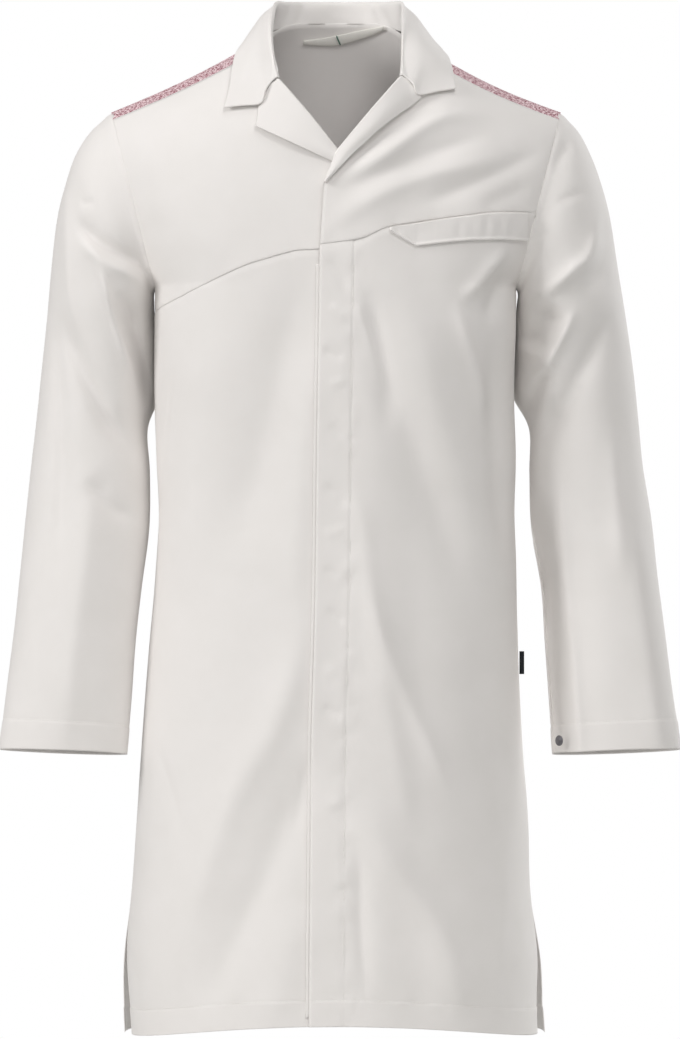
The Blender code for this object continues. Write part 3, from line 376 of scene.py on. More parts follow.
def bodySurface(p, h, face, lift=0.0):
    # the smooth body with its folds, moved out by lift; front and back folds agree at the side seams
    points, normals = bareBody(p, h, face), bodyNormal(p, h, face)
    x, z = points[..., 0], points[..., 2]
    ahead, behind = creaseField(x, z, frontCreases), body["backFoldGain"] * creaseField(x, z, backCreases)
    mix = 0.5 * np.abs(p) ** 8
    folds = ahead * (1 - mix) + behind * mix if face < 0 else behind * (1 - mix) + ahead * mix
    around = np.arcsin(np.clip(x / body["drapeHalfX"], -1.0, 1.0)) * body["drapeRadius"]
    folds = folds + drape(face * around, z, seeds["drape"][face]) * (1.0 - np.abs(p) ** 6)
    calm = ease((1.0 - armholeShare(h)) / body["calmSpan"])
    return points + normals * (folds * calm + lift)[..., None], normals


def onBody(x, z, face, lift=0.0):
    # one place on the body seen from the front or back, moved out by lift
    at = chart(x, z, face)
    return bodySurface(at[..., 0], at[..., 1], face, lift)


print("body surface ready")


def spread(*stretches):
    # shares from 0 to 1, each stretch given as (share where it ends, steps)
    at, shares = 0.0, [np.zeros(1)]
    for end, steps in stretches:
        shares.append(np.linspace(at, end, steps + 1)[1:])
        at = end
    return np.concatenate(shares)


def readEven(line, shares):  # a line of points read at shares of its count
    keys = np.linspace(0.0, 1.0, len(line))
    return np.stack([np.interp(shares, keys, line[:, k]) for k in range(line.shape[1])], axis=-1)


def coons(bottom, top, inner, outer, u, v):
    # a grid between four edges: the two ruled surfaces less the corners' one; rows go up
    low, high, near, far = (readEven(line, shares) for line, shares in
                            ((bottom, u), (top, u), (inner, v), (outer, v)))
    v, u = v[:, None, None], u[None, :, None]
    corners = (1 - u) * (1 - v) * low[0] + u * (1 - v) * low[-1] + (1 - u) * v * high[0] + u * v * high[-1]
    return (1 - v) * low[None] + v * high[None] + (1 - u) * near[:, None] + u * far[:, None] - corners


def alongBody(line, startX, endX, endH=None, count=160):
    # a line (x, z) on the front as chart points, evenly spaced round the body
    line = np.array(line)
    line = smoothLine(line[np.argsort(line[:, 0])], 200)
    x = np.linspace(startX, endX, 300)
    dense = chart(x, np.interp(x, line[:, 0], line[:, 1]))
    order = np.argsort(dense[:, 0], kind="stable")
    p = np.linspace(dense[0, 0], dense[-1, 0], count)
    points = np.stack((p, np.interp(p, dense[order, 0], dense[order, 1])), axis=-1)
    if endH is not None:
        points[:, 1] += (endH - points[-1, 1]) * ease((np.abs(points[:, 0]) - 0.9) / 0.1)
        points[-1] = (math.copysign(1.0, endX), endH)
    return points


def gridNormals(points, wrap=False):
    across = np.roll(points, -1, axis=1) - np.roll(points, 1, axis=1) if wrap else np.gradient(points, axis=1)
    normals = np.cross(across, np.gradient(points, axis=0))
    return normals / np.maximum(np.linalg.norm(normals, axis=-1, keepdims=True), 1e-12)


def arcUv(points, anchor=0):
    # metres along the rows from the anchor column, and metres up the columns
    across = np.cumsum(np.linalg.norm(np.diff(points, axis=1), axis=-1), axis=1)
    up = np.cumsum(np.linalg.norm(np.diff(points, axis=0), axis=-1), axis=0)
    u = np.concatenate((np.zeros((len(points), 1)), across), axis=1)
    v = np.concatenate((np.zeros((1, points.shape[1])), up), axis=0)
    return np.stack((u - u[:, anchor:anchor + 1], v), axis=-1)


def addObject(name, data):
    made = bpy.data.objects.new(name, data)
    bpy.context.scene.collection.objects.link(made)
    return made


def makeSheet(name, points, outward, finish, ply=body["ply"], wrap=False, anchor=0, rounded=False):
    # a grid of points as a sheet whose faces point outward, given its thickness inward
    if wrap:
        points = np.concatenate((points, points[:, :1]), axis=1)
    rows, columns = points.shape[:2]
    index = np.arange(rows * columns).reshape(rows, columns)
    quads = np.stack((index[:-1, :-1], index[:-1, 1:], index[1:, 1:], index[1:, :-1]), axis=-1).reshape(-1, 4)
    facing = np.sum(gridNormals(points)[1:-1, 1:-1] * outward[1:rows - 1, 1:columns - 1])
    if facing < 0:
        quads = quads[:, ::-1]
    mesh = bpy.data.meshes.new(name)
    uv = arcUv(points, anchor).reshape(-1, 2)[quads.reshape(-1)]
    if wrap:  # the last column is the first one again
        index[:, -1] = index[:, 0]
        quads = index.reshape(-1)[quads]
    mesh.from_pydata(points.reshape(-1, 3).tolist(), [], quads.tolist())
    mesh.uv_layers.new(name="cut").data.foreach_set("uv", uv.astype(np.float32).reshape(-1))
    mesh.shade_smooth()
    mesh.materials.append(finish)
    piece = addObject(name, mesh)
    if wrap:
        dropLoose(mesh)
    wall = piece.modifiers.new("wall", "SOLIDIFY")
    wall.thickness, wall.offset = ply, -1.0
    if rounded:
        soft = piece.modifiers.new("soft", "SUBSURF")
        soft.levels, soft.render_levels = 1, 1
    return piece


def dropLoose(mesh):  # points that no face uses
    used = np.zeros(len(mesh.vertices), dtype=bool)
    corners = np.zeros(len(mesh.loops), dtype=np.int32)
    mesh.loops.foreach_get("vertex_index", corners)
    used[corners] = True
    if not used.all():
        whole = bmesh.new()
        whole.from_mesh(mesh)
        whole.verts.ensure_lookup_table()
        bmesh.ops.delete(whole, geom=[whole.verts[k] for k in np.nonzero(~used)[0]], context="VERTS")
        whole.to_mesh(mesh)
        whole.free()


def finishPiece(piece, node):
    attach(piece, "root")
    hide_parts(node)
    return piece


# Finishes. Colours are sRGB hex values
def linear(hexColour):
    channels = np.array([int(hexColour[k:k + 2], 16) for k in (1, 3, 5)]) / 255.0
    wide = np.where(channels <= 0.04045, channels / 12.92, ((channels + 0.055) / 1.055) ** 2.4)
    return (*wide.tolist(), 1.0)


def addNode(tree, kind, settings=(), links=()):
    # one node with its settings, and its inputs joined to (node, output) pairs
    node = tree.nodes.new(kind)
    for name, value in dict(settings).items():
        if isinstance(name, str) and hasattr(node, name):
            setattr(node, name, value)
        else:
            node.inputs[name].default_value = value
    for name, (source, output) in dict(links).items():
        tree.links.new(source.outputs[output], node.inputs[name])
    return node


def newMaterial(name, roughness, **sockets):
    material = bpy.data.materials.new(name)
    material.use_nodes = True
    shader = material.node_tree.nodes["Principled BSDF"]
    shader.inputs["Roughness"].default_value = roughness
    for socket, value in sockets.items():
        shader.inputs[socket].default_value = value
    return material, material.node_tree, shader


# Wave bands repeat every 2 pi / 20 of a unit at scale 1
def bandScale(millimetres):
    return 2.0 * math.pi / 20.0 / (millimetres / 1000.0)


twill = {
    "light": "#F2EFED",
    "shade": "#ECE9E6",
    "angle": 63,  # degrees from the weft
    "wale": 1.1,  # mm; the real diagonal is 0.5 mm, too fine to show
    "warp": 0.9,  # mm
    "patch": 0.045,
    "bump": 0.16,
    "height": 0.00012,
}


def twillNodes(tree, shader, light, shade, settings):
    # the diagonal wale of a 2/1 twill crossed by its warp, and a slow unevenness of the bleach
    cut = addNode(tree, "ShaderNodeUVMap", {"uv_map": "cut"})
    turn = addNode(tree, "ShaderNodeMapping", {"Rotation": (0.0, 0.0, math.radians(settings["angle"]))},
                   {"Vector": (cut, "UV")})
    wale = addNode(tree, "ShaderNodeTexWave",
                   {"Scale": bandScale(settings["wale"]), "Distortion": 0.6, "Detail": 1.0,
                    "Detail Scale": 0.4},
                   {"Vector": (turn, "Vector")})
    warp = addNode(tree, "ShaderNodeTexWave", {"Scale": bandScale(settings["warp"]), "Distortion": 0.8},
                   {"Vector": (cut, "UV")})
    place = addNode(tree, "ShaderNodeTexCoord")
    patch = addNode(tree, "ShaderNodeTexNoise",
                    {"Scale": 1.0 / settings["patch"], "Detail": 3.0, "Roughness": 0.55},
                    {"Vector": (place, "Object")})
    slub = addNode(tree, "ShaderNodeTexNoise", {"Scale": 900.0, "Detail": 1.0}, {"Vector": (place, "Object")})
    tone = addNode(tree, "ShaderNodeMix", {"data_type": "RGBA", 6: linear(light), 7: linear(shade)},
                   {0: (patch, "Fac")})
    weave = addNode(tree, "ShaderNodeMath", {"operation": "MULTIPLY_ADD", 1: 1.6},
                    {0: (wale, "Fac"), 2: (warp, "Fac")})
    rough = addNode(tree, "ShaderNodeMath", {"operation": "MULTIPLY_ADD", 1: 0.8},
                    {0: (slub, "Fac"), 2: (weave, 0)})
    bump = addNode(tree, "ShaderNodeBump", {"Strength": settings["bump"], "Distance": settings["height"]},
                   {"Height": (rough, 0)})
    tree.links.new(bump.outputs["Normal"], shader.inputs["Normal"])
    return tone, cut, place


def whiteTwill():
    # bleached polyester-cotton twill, soft and matt, its fine diagonal just catching the light
    material, tree, shader = newMaterial("bleachedCottonTwillWoven", 0.88, **{"Sheen Weight": 0.12,
                                         "Sheen Roughness": 0.5, "IOR": 1.46, "Specular IOR Level": 0.3})
    tone, _, _ = twillNodes(tree, shader, twill["light"], twill["shade"], twill)
    tree.links.new(tone.outputs[2], shader.inputs["Base Color"])
    return material


fleck = {
    "ground": "#F8F0F1",
    "blush": "#EFC3CC",
    "crimson": "#A3244A",
    "deep": "#6A1230",
    "cell": 3.6,  # mm between flecks
}


def printedTwill():
    # the same twill printed with small crimson flecks and broken veins; the ink is as matt as the cloth
    material, tree, shader = newMaterial("pigmentPrintedTwillFlecked", 0.86, **{"Sheen Weight": 0.10,
                                         "Sheen Roughness": 0.5, "IOR": 1.46, "Specular IOR Level": 0.3})
    _, cut, _ = twillNodes(tree, shader, fleck["ground"], fleck["blush"], twill)
    warpNoise = addNode(tree, "ShaderNodeTexNoise", {"Scale": 420.0, "Detail": 2.0}, {"Vector": (cut, "UV")})
    push = addNode(tree, "ShaderNodeVectorMath", {"operation": "MULTIPLY_ADD", 1: (0.0016, 0.0016, 0.0016)},
                   {0: (warpNoise, "Color"), 2: (cut, "UV")})
    cells = addNode(tree, "ShaderNodeTexVoronoi",
                    {"feature": "DISTANCE_TO_EDGE", "Scale": 1000.0 / fleck["cell"], "Randomness": 1.0},
                    {"Vector": (push, 0)})
    vein = addNode(tree, "ShaderNodeMapRange",
                   {"From Min": 0.07, "From Max": 0.15, "To Min": 1.0, "To Max": 0.0},
                   {"Value": (cells, "Distance")})
    broken = addNode(tree, "ShaderNodeTexNoise", {"Scale": 300.0, "Detail": 1.0}, {"Vector": (cut, "UV")})
    gate = addNode(tree, "ShaderNodeMapRange", {"From Min": 0.44, "From Max": 0.49},
                   {"Value": (broken, "Fac")})
    inked = addNode(tree, "ShaderNodeMath", {"operation": "MULTIPLY"},
                    {0: (vein, "Result"), 1: (gate, "Result")})
    spots = addNode(tree, "ShaderNodeTexVoronoi", {"feature": "F1", "Scale": 1000.0 / (fleck["cell"] * 0.8)},
                    {"Vector": (push, 0)})
    spot = addNode(tree, "ShaderNodeMapRange",
                   {"From Min": 0.27, "From Max": 0.33, "To Min": 1.0, "To Max": 0.0},
                   {"Value": (spots, "Distance")})
    ink = addNode(tree, "ShaderNodeMath", {"operation": "MAXIMUM"}, {0: (inked, 0), 1: (spot, "Result")})
    shade = addNode(tree, "ShaderNodeMix",
                    {"data_type": "RGBA", 6: linear(fleck["crimson"]), 7: linear(fleck["deep"])},
                    {0: (broken, "Fac")})
    haze = addNode(tree, "ShaderNodeTexNoise", {"Scale": 160.0, "Detail": 2.0}, {"Vector": (cut, "UV")})
    ground = addNode(tree, "ShaderNodeMix",
                     {"data_type": "RGBA", 6: linear(fleck["ground"]), 7: linear(fleck["blush"])},
                     {0: (haze, "Fac")})
    colour = addNode(tree, "ShaderNodeMix", {"data_type": "RGBA"}, {0: (ink, 0), 6: (ground, 2), 7: (shade, 2)})
    tree.links.new(colour.outputs[2], shader.inputs["Base Color"])
    return material


def wovenTape(name, light, shade, rib):
    # narrow plain-woven tape: fine ribs across it, matt, with a painted highlight on the rib tops and painted
    # shade in the grooves between them
    material, tree, shader = newMaterial(name, 0.82, **{"IOR": 1.48, "Specular IOR Level": 0.35})
    cut = addNode(tree, "ShaderNodeUVMap", {"uv_map": "cut"})
    across = addNode(tree, "ShaderNodeTexWave", {"Scale": bandScale(rib), "Distortion": 0.3},
                     {"Vector": (cut, "UV")})
    # painted highlight and shade: the colour follows the ribs' height, the light colour on their tops and the
    # shade colour in the grooves
    tone = addNode(tree, "ShaderNodeMix", {"data_type": "RGBA", 6: linear(shade), 7: linear(light)},
                   {0: (across, "Fac")})
    bump = addNode(tree, "ShaderNodeBump", {"Strength": 0.5, "Distance": 0.0002}, {"Height": (across, "Fac")})
    tree.links.new(tone.outputs[2], shader.inputs["Base Color"])
    tree.links.new(bump.outputs["Normal"], shader.inputs["Normal"])
    return material


def satinNickel():
    # dark nickel-plated brass, tumbled to a satin: a broad soft gleam with fine turned rings
    material, tree, shader = newMaterial("blackNickelTumbledSatin", 0.34, **{"Metallic": 1.0})
    place = addNode(tree, "ShaderNodeTexCoord")
    grain = addNode(tree, "ShaderNodeTexNoise", {"Scale": 1400.0, "Detail": 2.0}, {"Vector": (place, "Object")})
    tone = addNode(tree, "ShaderNodeMix", {"data_type": "RGBA", 6: linear("#6C6B6E"), 7: linear("#85848A")},
                   {0: (grain, "Fac")})
    rough = addNode(tree, "ShaderNodeMapRange", {"To Min": 0.28, "To Max": 0.46}, {"Value": (grain, "Fac")})
    tree.links.new(tone.outputs[2], shader.inputs["Base Color"])
    tree.links.new(rough.outputs["Result"], shader.inputs["Roughness"])
    return material


def spunThread(name, colour):
    # core-spun polyester thread: its two plies twist round each other, with a slight silky sheen, and a painted
    # highlight of white along the raised side of each ply
    material, tree, shader = newMaterial(name, 0.55, **{"Sheen Weight": 0.2, "IOR": 1.5})
    place = addNode(tree, "ShaderNodeTexCoord")
    ply = addNode(tree, "ShaderNodeTexWave", {"bands_direction": "DIAGONAL", "Scale": bandScale(0.5)},
                  {"Vector": (place, "Object")})
    # painted highlight: white mixed into the thread's colour where the twist's bump stands highest, 15 % of it
    # at most
    tone = addNode(tree, "ShaderNodeMix", {"data_type": "RGBA", 6: linear(colour), 7: linear("#FFFFFF")},
                   {0: (ply, "Fac")})
    colourWithPaintedHighlight = addNode(tree, "ShaderNodeMix", {"data_type": "RGBA", 0: 0.15, 6: linear(colour)}, {7: (tone, 2)})
    bump = addNode(tree, "ShaderNodeBump", {"Strength": 0.3, "Distance": 0.0001}, {"Height": (ply, "Fac")})
    tree.links.new(colourWithPaintedHighlight.outputs[2], shader.inputs["Base Color"])
    tree.links.new(bump.outputs["Normal"], shader.inputs["Normal"])
    return material


whiteThread = spunThread("whiteCoreSpunThread", "#F4F1EE")
greenThread = spunThread("greenCoreSpunThread", "#1E5F4C")
whiteCloth = whiteTwill()
printCloth = printedTwill()
# each tape's two colours are its painted highlight on the rib tops and its painted shade between the ribs
tapeCloth = wovenTape("bleachedCottonTapeWoven", "#F7F5F0", "#EAE8E1", 0.9)
darkTape = wovenTape("blackPolyesterTapeWoven", "#2A2D33", "#15171B", 0.8)
studMetal = satinNickel()
print("finishes ready")

# The camera stands level with the middle of the coat, 5 m off; the lens is long, so nothing bulges
camera = {"place": (0.0042, -5.0, -0.4967), "viewHeight": 1.091, "sensor": 36.0}
lens = camera["sensor"] * abs(camera["place"][1]) / camera["viewHeight"]
lights = (
    # name, place, aim, size, watts, colour
    ("keyFromLeft", (-3.2, -1.7, 1.15), (0.0, 0.0, -0.40), 1.4, 66.0, "#FFFDFC"),
    ("highFromRight", (0.70, -2.6, 1.95), (0.05, 0.0, -0.15), 1.3, 30.0, "#FFFDFC"),
    ("overhead", (0.60, -0.9, 2.60), (0.02, 0.0, 0.0), 1.2, 14.0, "#FFFDFC"),
    ("fillInFront", (-0.30, -4.2, -0.10), (0.0, 0.0, -0.45), 2.2, 24.0, "#FFFEFD"),
    ("backdropGlowRight", (2.6, 2.2, 0.2), (0.0, 0.0, -0.55), 1.8, 62.0, "#FFFFFF"),
    ("backdropGlowLeft", (-2.2, 2.6, -0.2), (0.0, 0.0, -0.55), 2.2, 10.0, "#FFFFFF"),
)


def makeCamera():
    data = bpy.data.cameras.new("camera")
    data.lens, data.sensor_width = lens, camera["sensor"]
    data.clip_end = 60.0
    made = addObject("camera", data)
    made.location, made.rotation_euler = camera["place"], (math.radians(90.0), 0.0, 0.0)
    bpy.context.scene.camera = made


def makeLights():
    for name, place, aim, size, watts, colour in lights:
        data = bpy.data.lights.new(name, "AREA")
        data.shape, data.size, data.energy = "SQUARE", size, watts
        data.color = linear(colour)[:3]
        made = addObject(name, data)
        made.location = place
        made.rotation_euler = (Vector(aim) - Vector(place)).to_track_quat("-Z", "Y").to_euler()
        made.visible_camera = False


air = {"colour": "#F4F4F2", "seen": 1.0, "felt": 0.27}


def makeSurround():
    # even pale air: it shows white, and lights the coat with less than that
    world = bpy.data.worlds.new("paleRoom")
    world.use_nodes = True
    tree = world.node_tree
    tree.nodes.clear()
    out = addNode(tree, "ShaderNodeOutputWorld")
    seen = addNode(tree, "ShaderNodeBackground", {"Color": (1.0, 1.0, 1.0, 1.0), "Strength": air["seen"]})
    felt = addNode(tree, "ShaderNodeBackground", {"Color": linear(air["colour"]), "Strength": air["felt"]})
    path = addNode(tree, "ShaderNodeLightPath")
    blend = addNode(tree, "ShaderNodeMixShader")
    tree.links.new(path.outputs["Is Camera Ray"], blend.inputs[0])
    tree.links.new(felt.outputs[0], blend.inputs[1])
    tree.links.new(seen.outputs[0], blend.inputs[2])
    tree.links.new(blend.outputs[0], out.inputs["Surface"])
    bpy.context.scene.world = world
    bpy.context.scene.view_settings.view_transform = "Standard"


ground = {"radius": 1.5, "sides": 96, "below": 0.20, "colour": "#E9E9E7"}


def makeFloor():
    # a round pale floor under the coat, below what the camera sees
    turn = np.linspace(0.0, 2.0 * math.pi, ground["sides"], endpoint=False)
    height = np.full(ground["sides"], cadLow[2] - ground["below"])
    rim = np.stack((ground["radius"] * np.cos(turn), ground["radius"] * np.sin(turn), height), axis=-1)
    mesh = bpy.data.meshes.new("floor")
    mesh.from_pydata(rim.tolist(), [], [tuple(range(ground["sides"]))])
    paint, _, shader = newMaterial("matFloorPaint", 0.9)
    shader.inputs["Base Color"].default_value = linear(ground["colour"])
    mesh.materials.append(paint)
    floor = addObject("floor", mesh)


for item in list(bpy.data.objects):
    if item.type in {"CAMERA", "LIGHT"}:
        bpy.data.objects.remove(item)
makeCamera()
makeLights()
makeSurround()
makeFloor()
print("camera, lights and floor ready")


# One stitch: stations along it, their height off the cloth and their thickness, in radii
stitch = {
    "pitch": 0.0032,
    "length": 0.0026,
    "radius": 0.00024,
    "look": 0.001,  # how far each way the line's direction is read
    "sides": 6,
    "along": (-0.50, -0.40, 0.0, 0.40, 0.50),
    "rise": (-0.9, 0.2, 0.5, 0.2, -0.9),
    "thick": (0.4, 0.95, 1.0, 0.95, 0.4),
}


def stitches(name, line, outward, node, pitch=stitch["pitch"], length=stitch["length"], across=False,
             radius=stitch["radius"], thread=whiteThread, slot="twill"):
    # threads laid end to end along a line on the cloth, each dipping into it at both ends
    run = lengthsAlong(line)
    at = np.arange(0.5 * pitch, run[-1], pitch)
    centre, out = readAlong(line, run, at), readAlong(outward, run, at)
    ahead = readAlong(line, run, at + stitch["look"]) - readAlong(line, run, at - stitch["look"])
    out /= np.linalg.norm(out, axis=-1, keepdims=True)
    ahead -= out * np.sum(ahead * out, axis=-1, keepdims=True)
    ahead /= np.linalg.norm(ahead, axis=-1, keepdims=True)
    wide = np.cross(out, ahead)
    if across:
        ahead, wide = wide, -ahead
    turn = np.linspace(0.0, 2.0 * math.pi, stitch["sides"], endpoint=False)
    rings, count = len(stitch["along"]), stitch["sides"]
    along = np.repeat(np.array(stitch["along"]) * length, count)
    thick = np.repeat(np.array(stitch["thick"]) * radius, count)
    rise = np.repeat(np.array(stitch["rise"]) * radius, count) + thick * np.tile(np.sin(turn), rings)
    aside = thick * np.tile(np.cos(turn), rings)
    points = (centre[:, None] + ahead[:, None] * along[None, :, None] + out[:, None] * rise[None, :, None]
              + wide[:, None] * aside[None, :, None])
    index = np.arange(rings * count).reshape(rings, count)
    after = np.roll(index, -1, axis=1)
    quads = np.stack((index[:-1], after[:-1], after[1:], index[1:]), axis=-1).reshape(-1, 4)
    first = np.arange(len(at))[:, None, None] * rings * count
    sides = (quads[None] + first).reshape(-1, 4).tolist()
    ends = (np.stack((index[0, ::-1], index[-1]))[None] + first).reshape(-1, count).tolist()
    mesh = bpy.data.meshes.new(name)
    mesh.from_pydata(points.reshape(-1, 3).tolist(), [], sides + ends)
    mesh.shade_smooth()
    mesh.materials.append(thread)
    outwardFaces(mesh)
    piece = addObject(name, mesh)
    return finishPiece(piece, node)


def outwardFaces(mesh):
    whole = bmesh.new()
    whole.from_mesh(mesh)
    bmesh.ops.recalc_face_normals(whole, faces=whole.faces[:])
    whole.to_mesh(mesh)
    whole.free()


# The body's pieces
def lapLift(x):  # how far the left front stands off the right one
    return lap["lift"] * ease((lap["endX"] - x) / (lap["endX"] - lap["fullX"]))


def yokeLift(p, h, side):  # the left yoke's lift, which fades towards the neck
    if side < 0:
        return np.zeros(np.shape(p))
    return lapLift(bareBody(p, h, -1)[..., 0]) * ease((lap["topH"] - h) / lap["fade"])


def lapEdgeX(z):
    line = smoothLine(lapEdge, 120)
    return np.interp(z, line[:, 1], line[:, 0])


def hemZ(x):
    return body["hemZ"] + body["frontHemRise"] * (1.0 - np.clip(np.abs(x) / body["hemHalfX"], 0.0, 1.0) ** 2)


def levelToZ(x, h):
    above = body["armpitZ"] + armholeShare(h) * (shoulderTop(x, -1) - body["armpitZ"])
    return np.where(h > body["armpitZ"], above, h)


def sortedLine(line):
    line = np.array(line)
    return smoothLine(line[np.argsort(line[:, 0])], 200).T


def seamTouch(x, z, line, groove=0.0004, width=0.0011, pucker=0.0005, wave=0.011, reach=0.009, seed=5):
    # a stitched line: a narrow groove, and puckers across it that die out with distance
    away, along, _ = nearLine(x, z, line)
    gathers = softNoise(along, away * 0.5, wave, reach * 2.0, seed)
    gathers = gathers + 0.5 * softNoise(along, away, wave * 0.45, reach, seed + 1)
    return -groove * np.exp(-(away / width) ** 2) + pucker * gathers * np.exp(-(away / reach) ** 2)


fronts = {
    "hem": 0.0270,
    "hemStep": 0.0005,
    "underYoke": 0.0060,
    "underStep": 0.0011,
    "underWidth": 0.0012,
    "edgeRadius": 0.0011,
    "placketTouch": {"groove": 0.0005, "pucker": 0.0009, "wave": 0.016, "reach": 0.011},
    "placketFrom": -1.012,
    "placketTo": -0.216,
    "columns": {1: ((0.02, 4), (0.10, 8), (0.16, 15), (1.0, 72)), -1: ((0.05, 4), (1.0, 84))},
    "rows": ((0.045, 30), (1.0, 230)),
    "held": "hung",
}


def hemLine():
    x = np.linspace(-0.24, 0.24, 25)
    return np.stack((x, hemZ(x) + fronts["hem"]), axis=-1)


def hemTouch(x, z, seed):
    # the turned-up hem: two plies thick below its stitching, and puckered along it
    above = z - hemZ(x) - fronts["hem"]
    return fronts["hemStep"] * (1.0 - stepShare(above)) + seamTouch(x, z, hemLine(), seed=seed)


def lowerFront(side):
    left = side > 0
    seam = np.array(yokeSeamLeft if left else yokeSeamRight) + (0.0, fronts["underYoke"])
    topH = levelAt(body["yokeLevel"]) if left else rightSeamSideZ
    startX = [float(lapEdgeX(z)) if left else lap["underX"] for z in (body["hemZ"], lap["chestZ"])]
    hemX = np.linspace(startX[0], side * body["pastSideX"], 80)
    bottom = alongBody(np.stack((hemX, hemZ(hemX)), axis=-1), startX[0], side * body["pastSideX"], body["hemZ"])
    top = alongBody(seam, startX[1], side * body["pastSideX"], topH + fronts["underYoke"])
    heights = np.linspace(bottom[0, 1], top[0, 1], 200)
    edgeX = lapEdgeX(heights) if left else np.full(200, lap["underX"])
    inner = chart(edgeX, levelToZ(edgeX, heights))
    inner[0], inner[-1] = bottom[0], top[0]
    outer = np.stack((np.full(200, float(side)), np.linspace(body["hemZ"], top[-1, 1], 200)), axis=-1)
    grid = coons(bottom, top, inner, outer, spread(*fronts["columns"][side]), spread(*fronts["rows"]))
    bare = bareBody(grid[..., 0], grid[..., 1], -1)
    x, z = bare[..., 0], bare[..., 2]
    chestSeam = yokeSeamLeft if left else yokeSeamRight
    above = z - np.interp(x, *sortedLine(chestSeam))
    lift = hemTouch(x, z, seeds["hem"][side]) - fronts["underStep"] * ease(above / fronts["underWidth"] + 0.7)
    lift = lift + seamTouch(x, z, smoothLine(chestSeam, 60), seed=seeds["chest"])
    if left:
        placket = smoothLine(np.array(lapEdge) + (lap["placket"], 0.0), 40)
        stitched = seamTouch(x, z, placket, **fronts["placketTouch"], seed=seeds["placket"])
        lift = lift + lapLift(x) + stitched
        lift = lift + fronts["hemStep"] * (1.0 - stepShare(x - lapEdgeX(z) - lap["placket"]))
    points, normals = bodySurface(grid[..., 0], grid[..., 1], -1, lift)
    if left:
        points = rollUnder(points, normals, 0, fronts["edgeRadius"])
    piece = makeSheet("lower_front_left" if left else "lower_front_right", points, normals, whiteCloth)
    finishPiece(piece, "front_left" if left else "front_right")
    node = "front_left" if left else "front_right"
    hemP = np.linspace(bottom[0, 0] + side * 0.004, side * 0.985, 500)
    hemX = bareBody(hemP, np.full(500, body["hemZ"]), -1)[..., 0]
    hemLift = lapLift(hemX) if left else 0.0 * hemX
    stitches(node + "_hem_stitches", *bodySurface(hemP, hemZ(hemX) + fronts["hem"], -1, hemLift), node)
    if left:
        z = np.linspace(fronts["placketFrom"], fronts["placketTo"], 900)
        x = lapEdgeX(z) + lap["placket"]
        stitches("placket_stitches", *onBody(x, z, -1, lapLift(x)), node)
    return piece


def rollUnder(points, normals, column, radius, steps=2):
    # a folded edge: its last columns turn in on a small arc
    points = points.copy()
    drop = radius * (1.0 - np.sqrt(1.0 - (1.0 - np.arange(steps) / steps) ** 2))
    for k in range(steps):
        points[:, column + k] -= normals[:, column + k] * drop[k]
    return points


yokes = {
    "edgeLeft": (-0.0142, -0.1830),
    "edgeRightZ": -0.1780,
    "columns": ((1.0, 78),),
    "rows": {1: ((0.06, 8), (1.0, 42)), -1: ((0.05, 8), (1.0, 62))},
    "rollLeft": ((-0.0122, -0.1516), (0.0032, -0.1185), (0.0352, -0.0790), (0.0672, -0.0404)),
    "rollRight": ((0.022, -0.1410), (0.0032, -0.1185), (-0.0283, -0.0805), (-0.0598, -0.0425)),
    "held": "hung",
}


def shoulderFrom():
    return math.asin(body["neckX"] / body["shoulderX"]) * 2.0 / math.pi


def yoke(side):
    left = side > 0
    seam = yokeSeamLeft if left else yokeSeamRight
    lowH = levelAt(body["yokeLevel"]) if left else rightSeamSideZ
    topH = levelAt(body["insertLevel"])
    neck = bareBody(np.array(side * shoulderFrom()), np.array(topH), -1)
    if left:
        below = ((float(lapEdgeX(lap["chestZ"])), lap["chestZ"]), yokes["edgeLeft"])
        edge = below + yokes["rollLeft"]
    else:
        seamZ = float(np.interp(lap["underX"], *sortedLine(seam)))
        below = ((lap["underX"], seamZ), (lap["underX"], yokes["edgeRightZ"]))
        edge = below + yokes["rollRight"]
    inner = chart(*straightLine(edge + ((float(neck[0]), float(neck[2])),), 240).T)
    bottom = alongBody(seam, below[0][0], side * body["pastSideX"], lowH)
    p = side * np.linspace(shoulderFrom(), 1.0, 160)
    top = np.stack((p, np.full(160, topH)), axis=-1)
    inner[0], inner[-1] = bottom[0], top[0]
    outer = np.stack((np.full(160, float(side)), np.linspace(lowH, topH, 160)), axis=-1)
    grid = coons(bottom, top, inner, outer, spread(*yokes["columns"]), spread(*yokes["rows"][side]))
    bare = bareBody(grid[..., 0], grid[..., 1], -1)
    x, z = bare[..., 0], bare[..., 2]
    line = smoothLine(seam, 60)
    lift = yokeLift(grid[..., 0], grid[..., 1], side) + seamTouch(x, z, line, seed=seeds["chest"])
    points, normals = bodySurface(grid[..., 0], grid[..., 1], -1, lift)
    piece = makeSheet("yoke_front_left" if left else "yoke_front_right", points, normals, whiteCloth)
    finishPiece(piece, "yoke_left" if left else "yoke_right")
    return piece


backPanel = {"columns": 150, "rows": ((0.04, 26), (0.55, 150), (1.0, 124)), "fanFrom": 0.45,
             "neckDrop": 0.0012, "held": "hung"}


def rearSeamLevel(p):  # the shoulder insert's rear seam rises towards the neck
    along = (np.abs(p) - shoulderFrom()) / body["rearSeamRun"]
    share = body["rearSeamNeck"] + (body["backInsertLevel"] - body["rearSeamNeck"]) * ease(along)
    return levelAt(share)


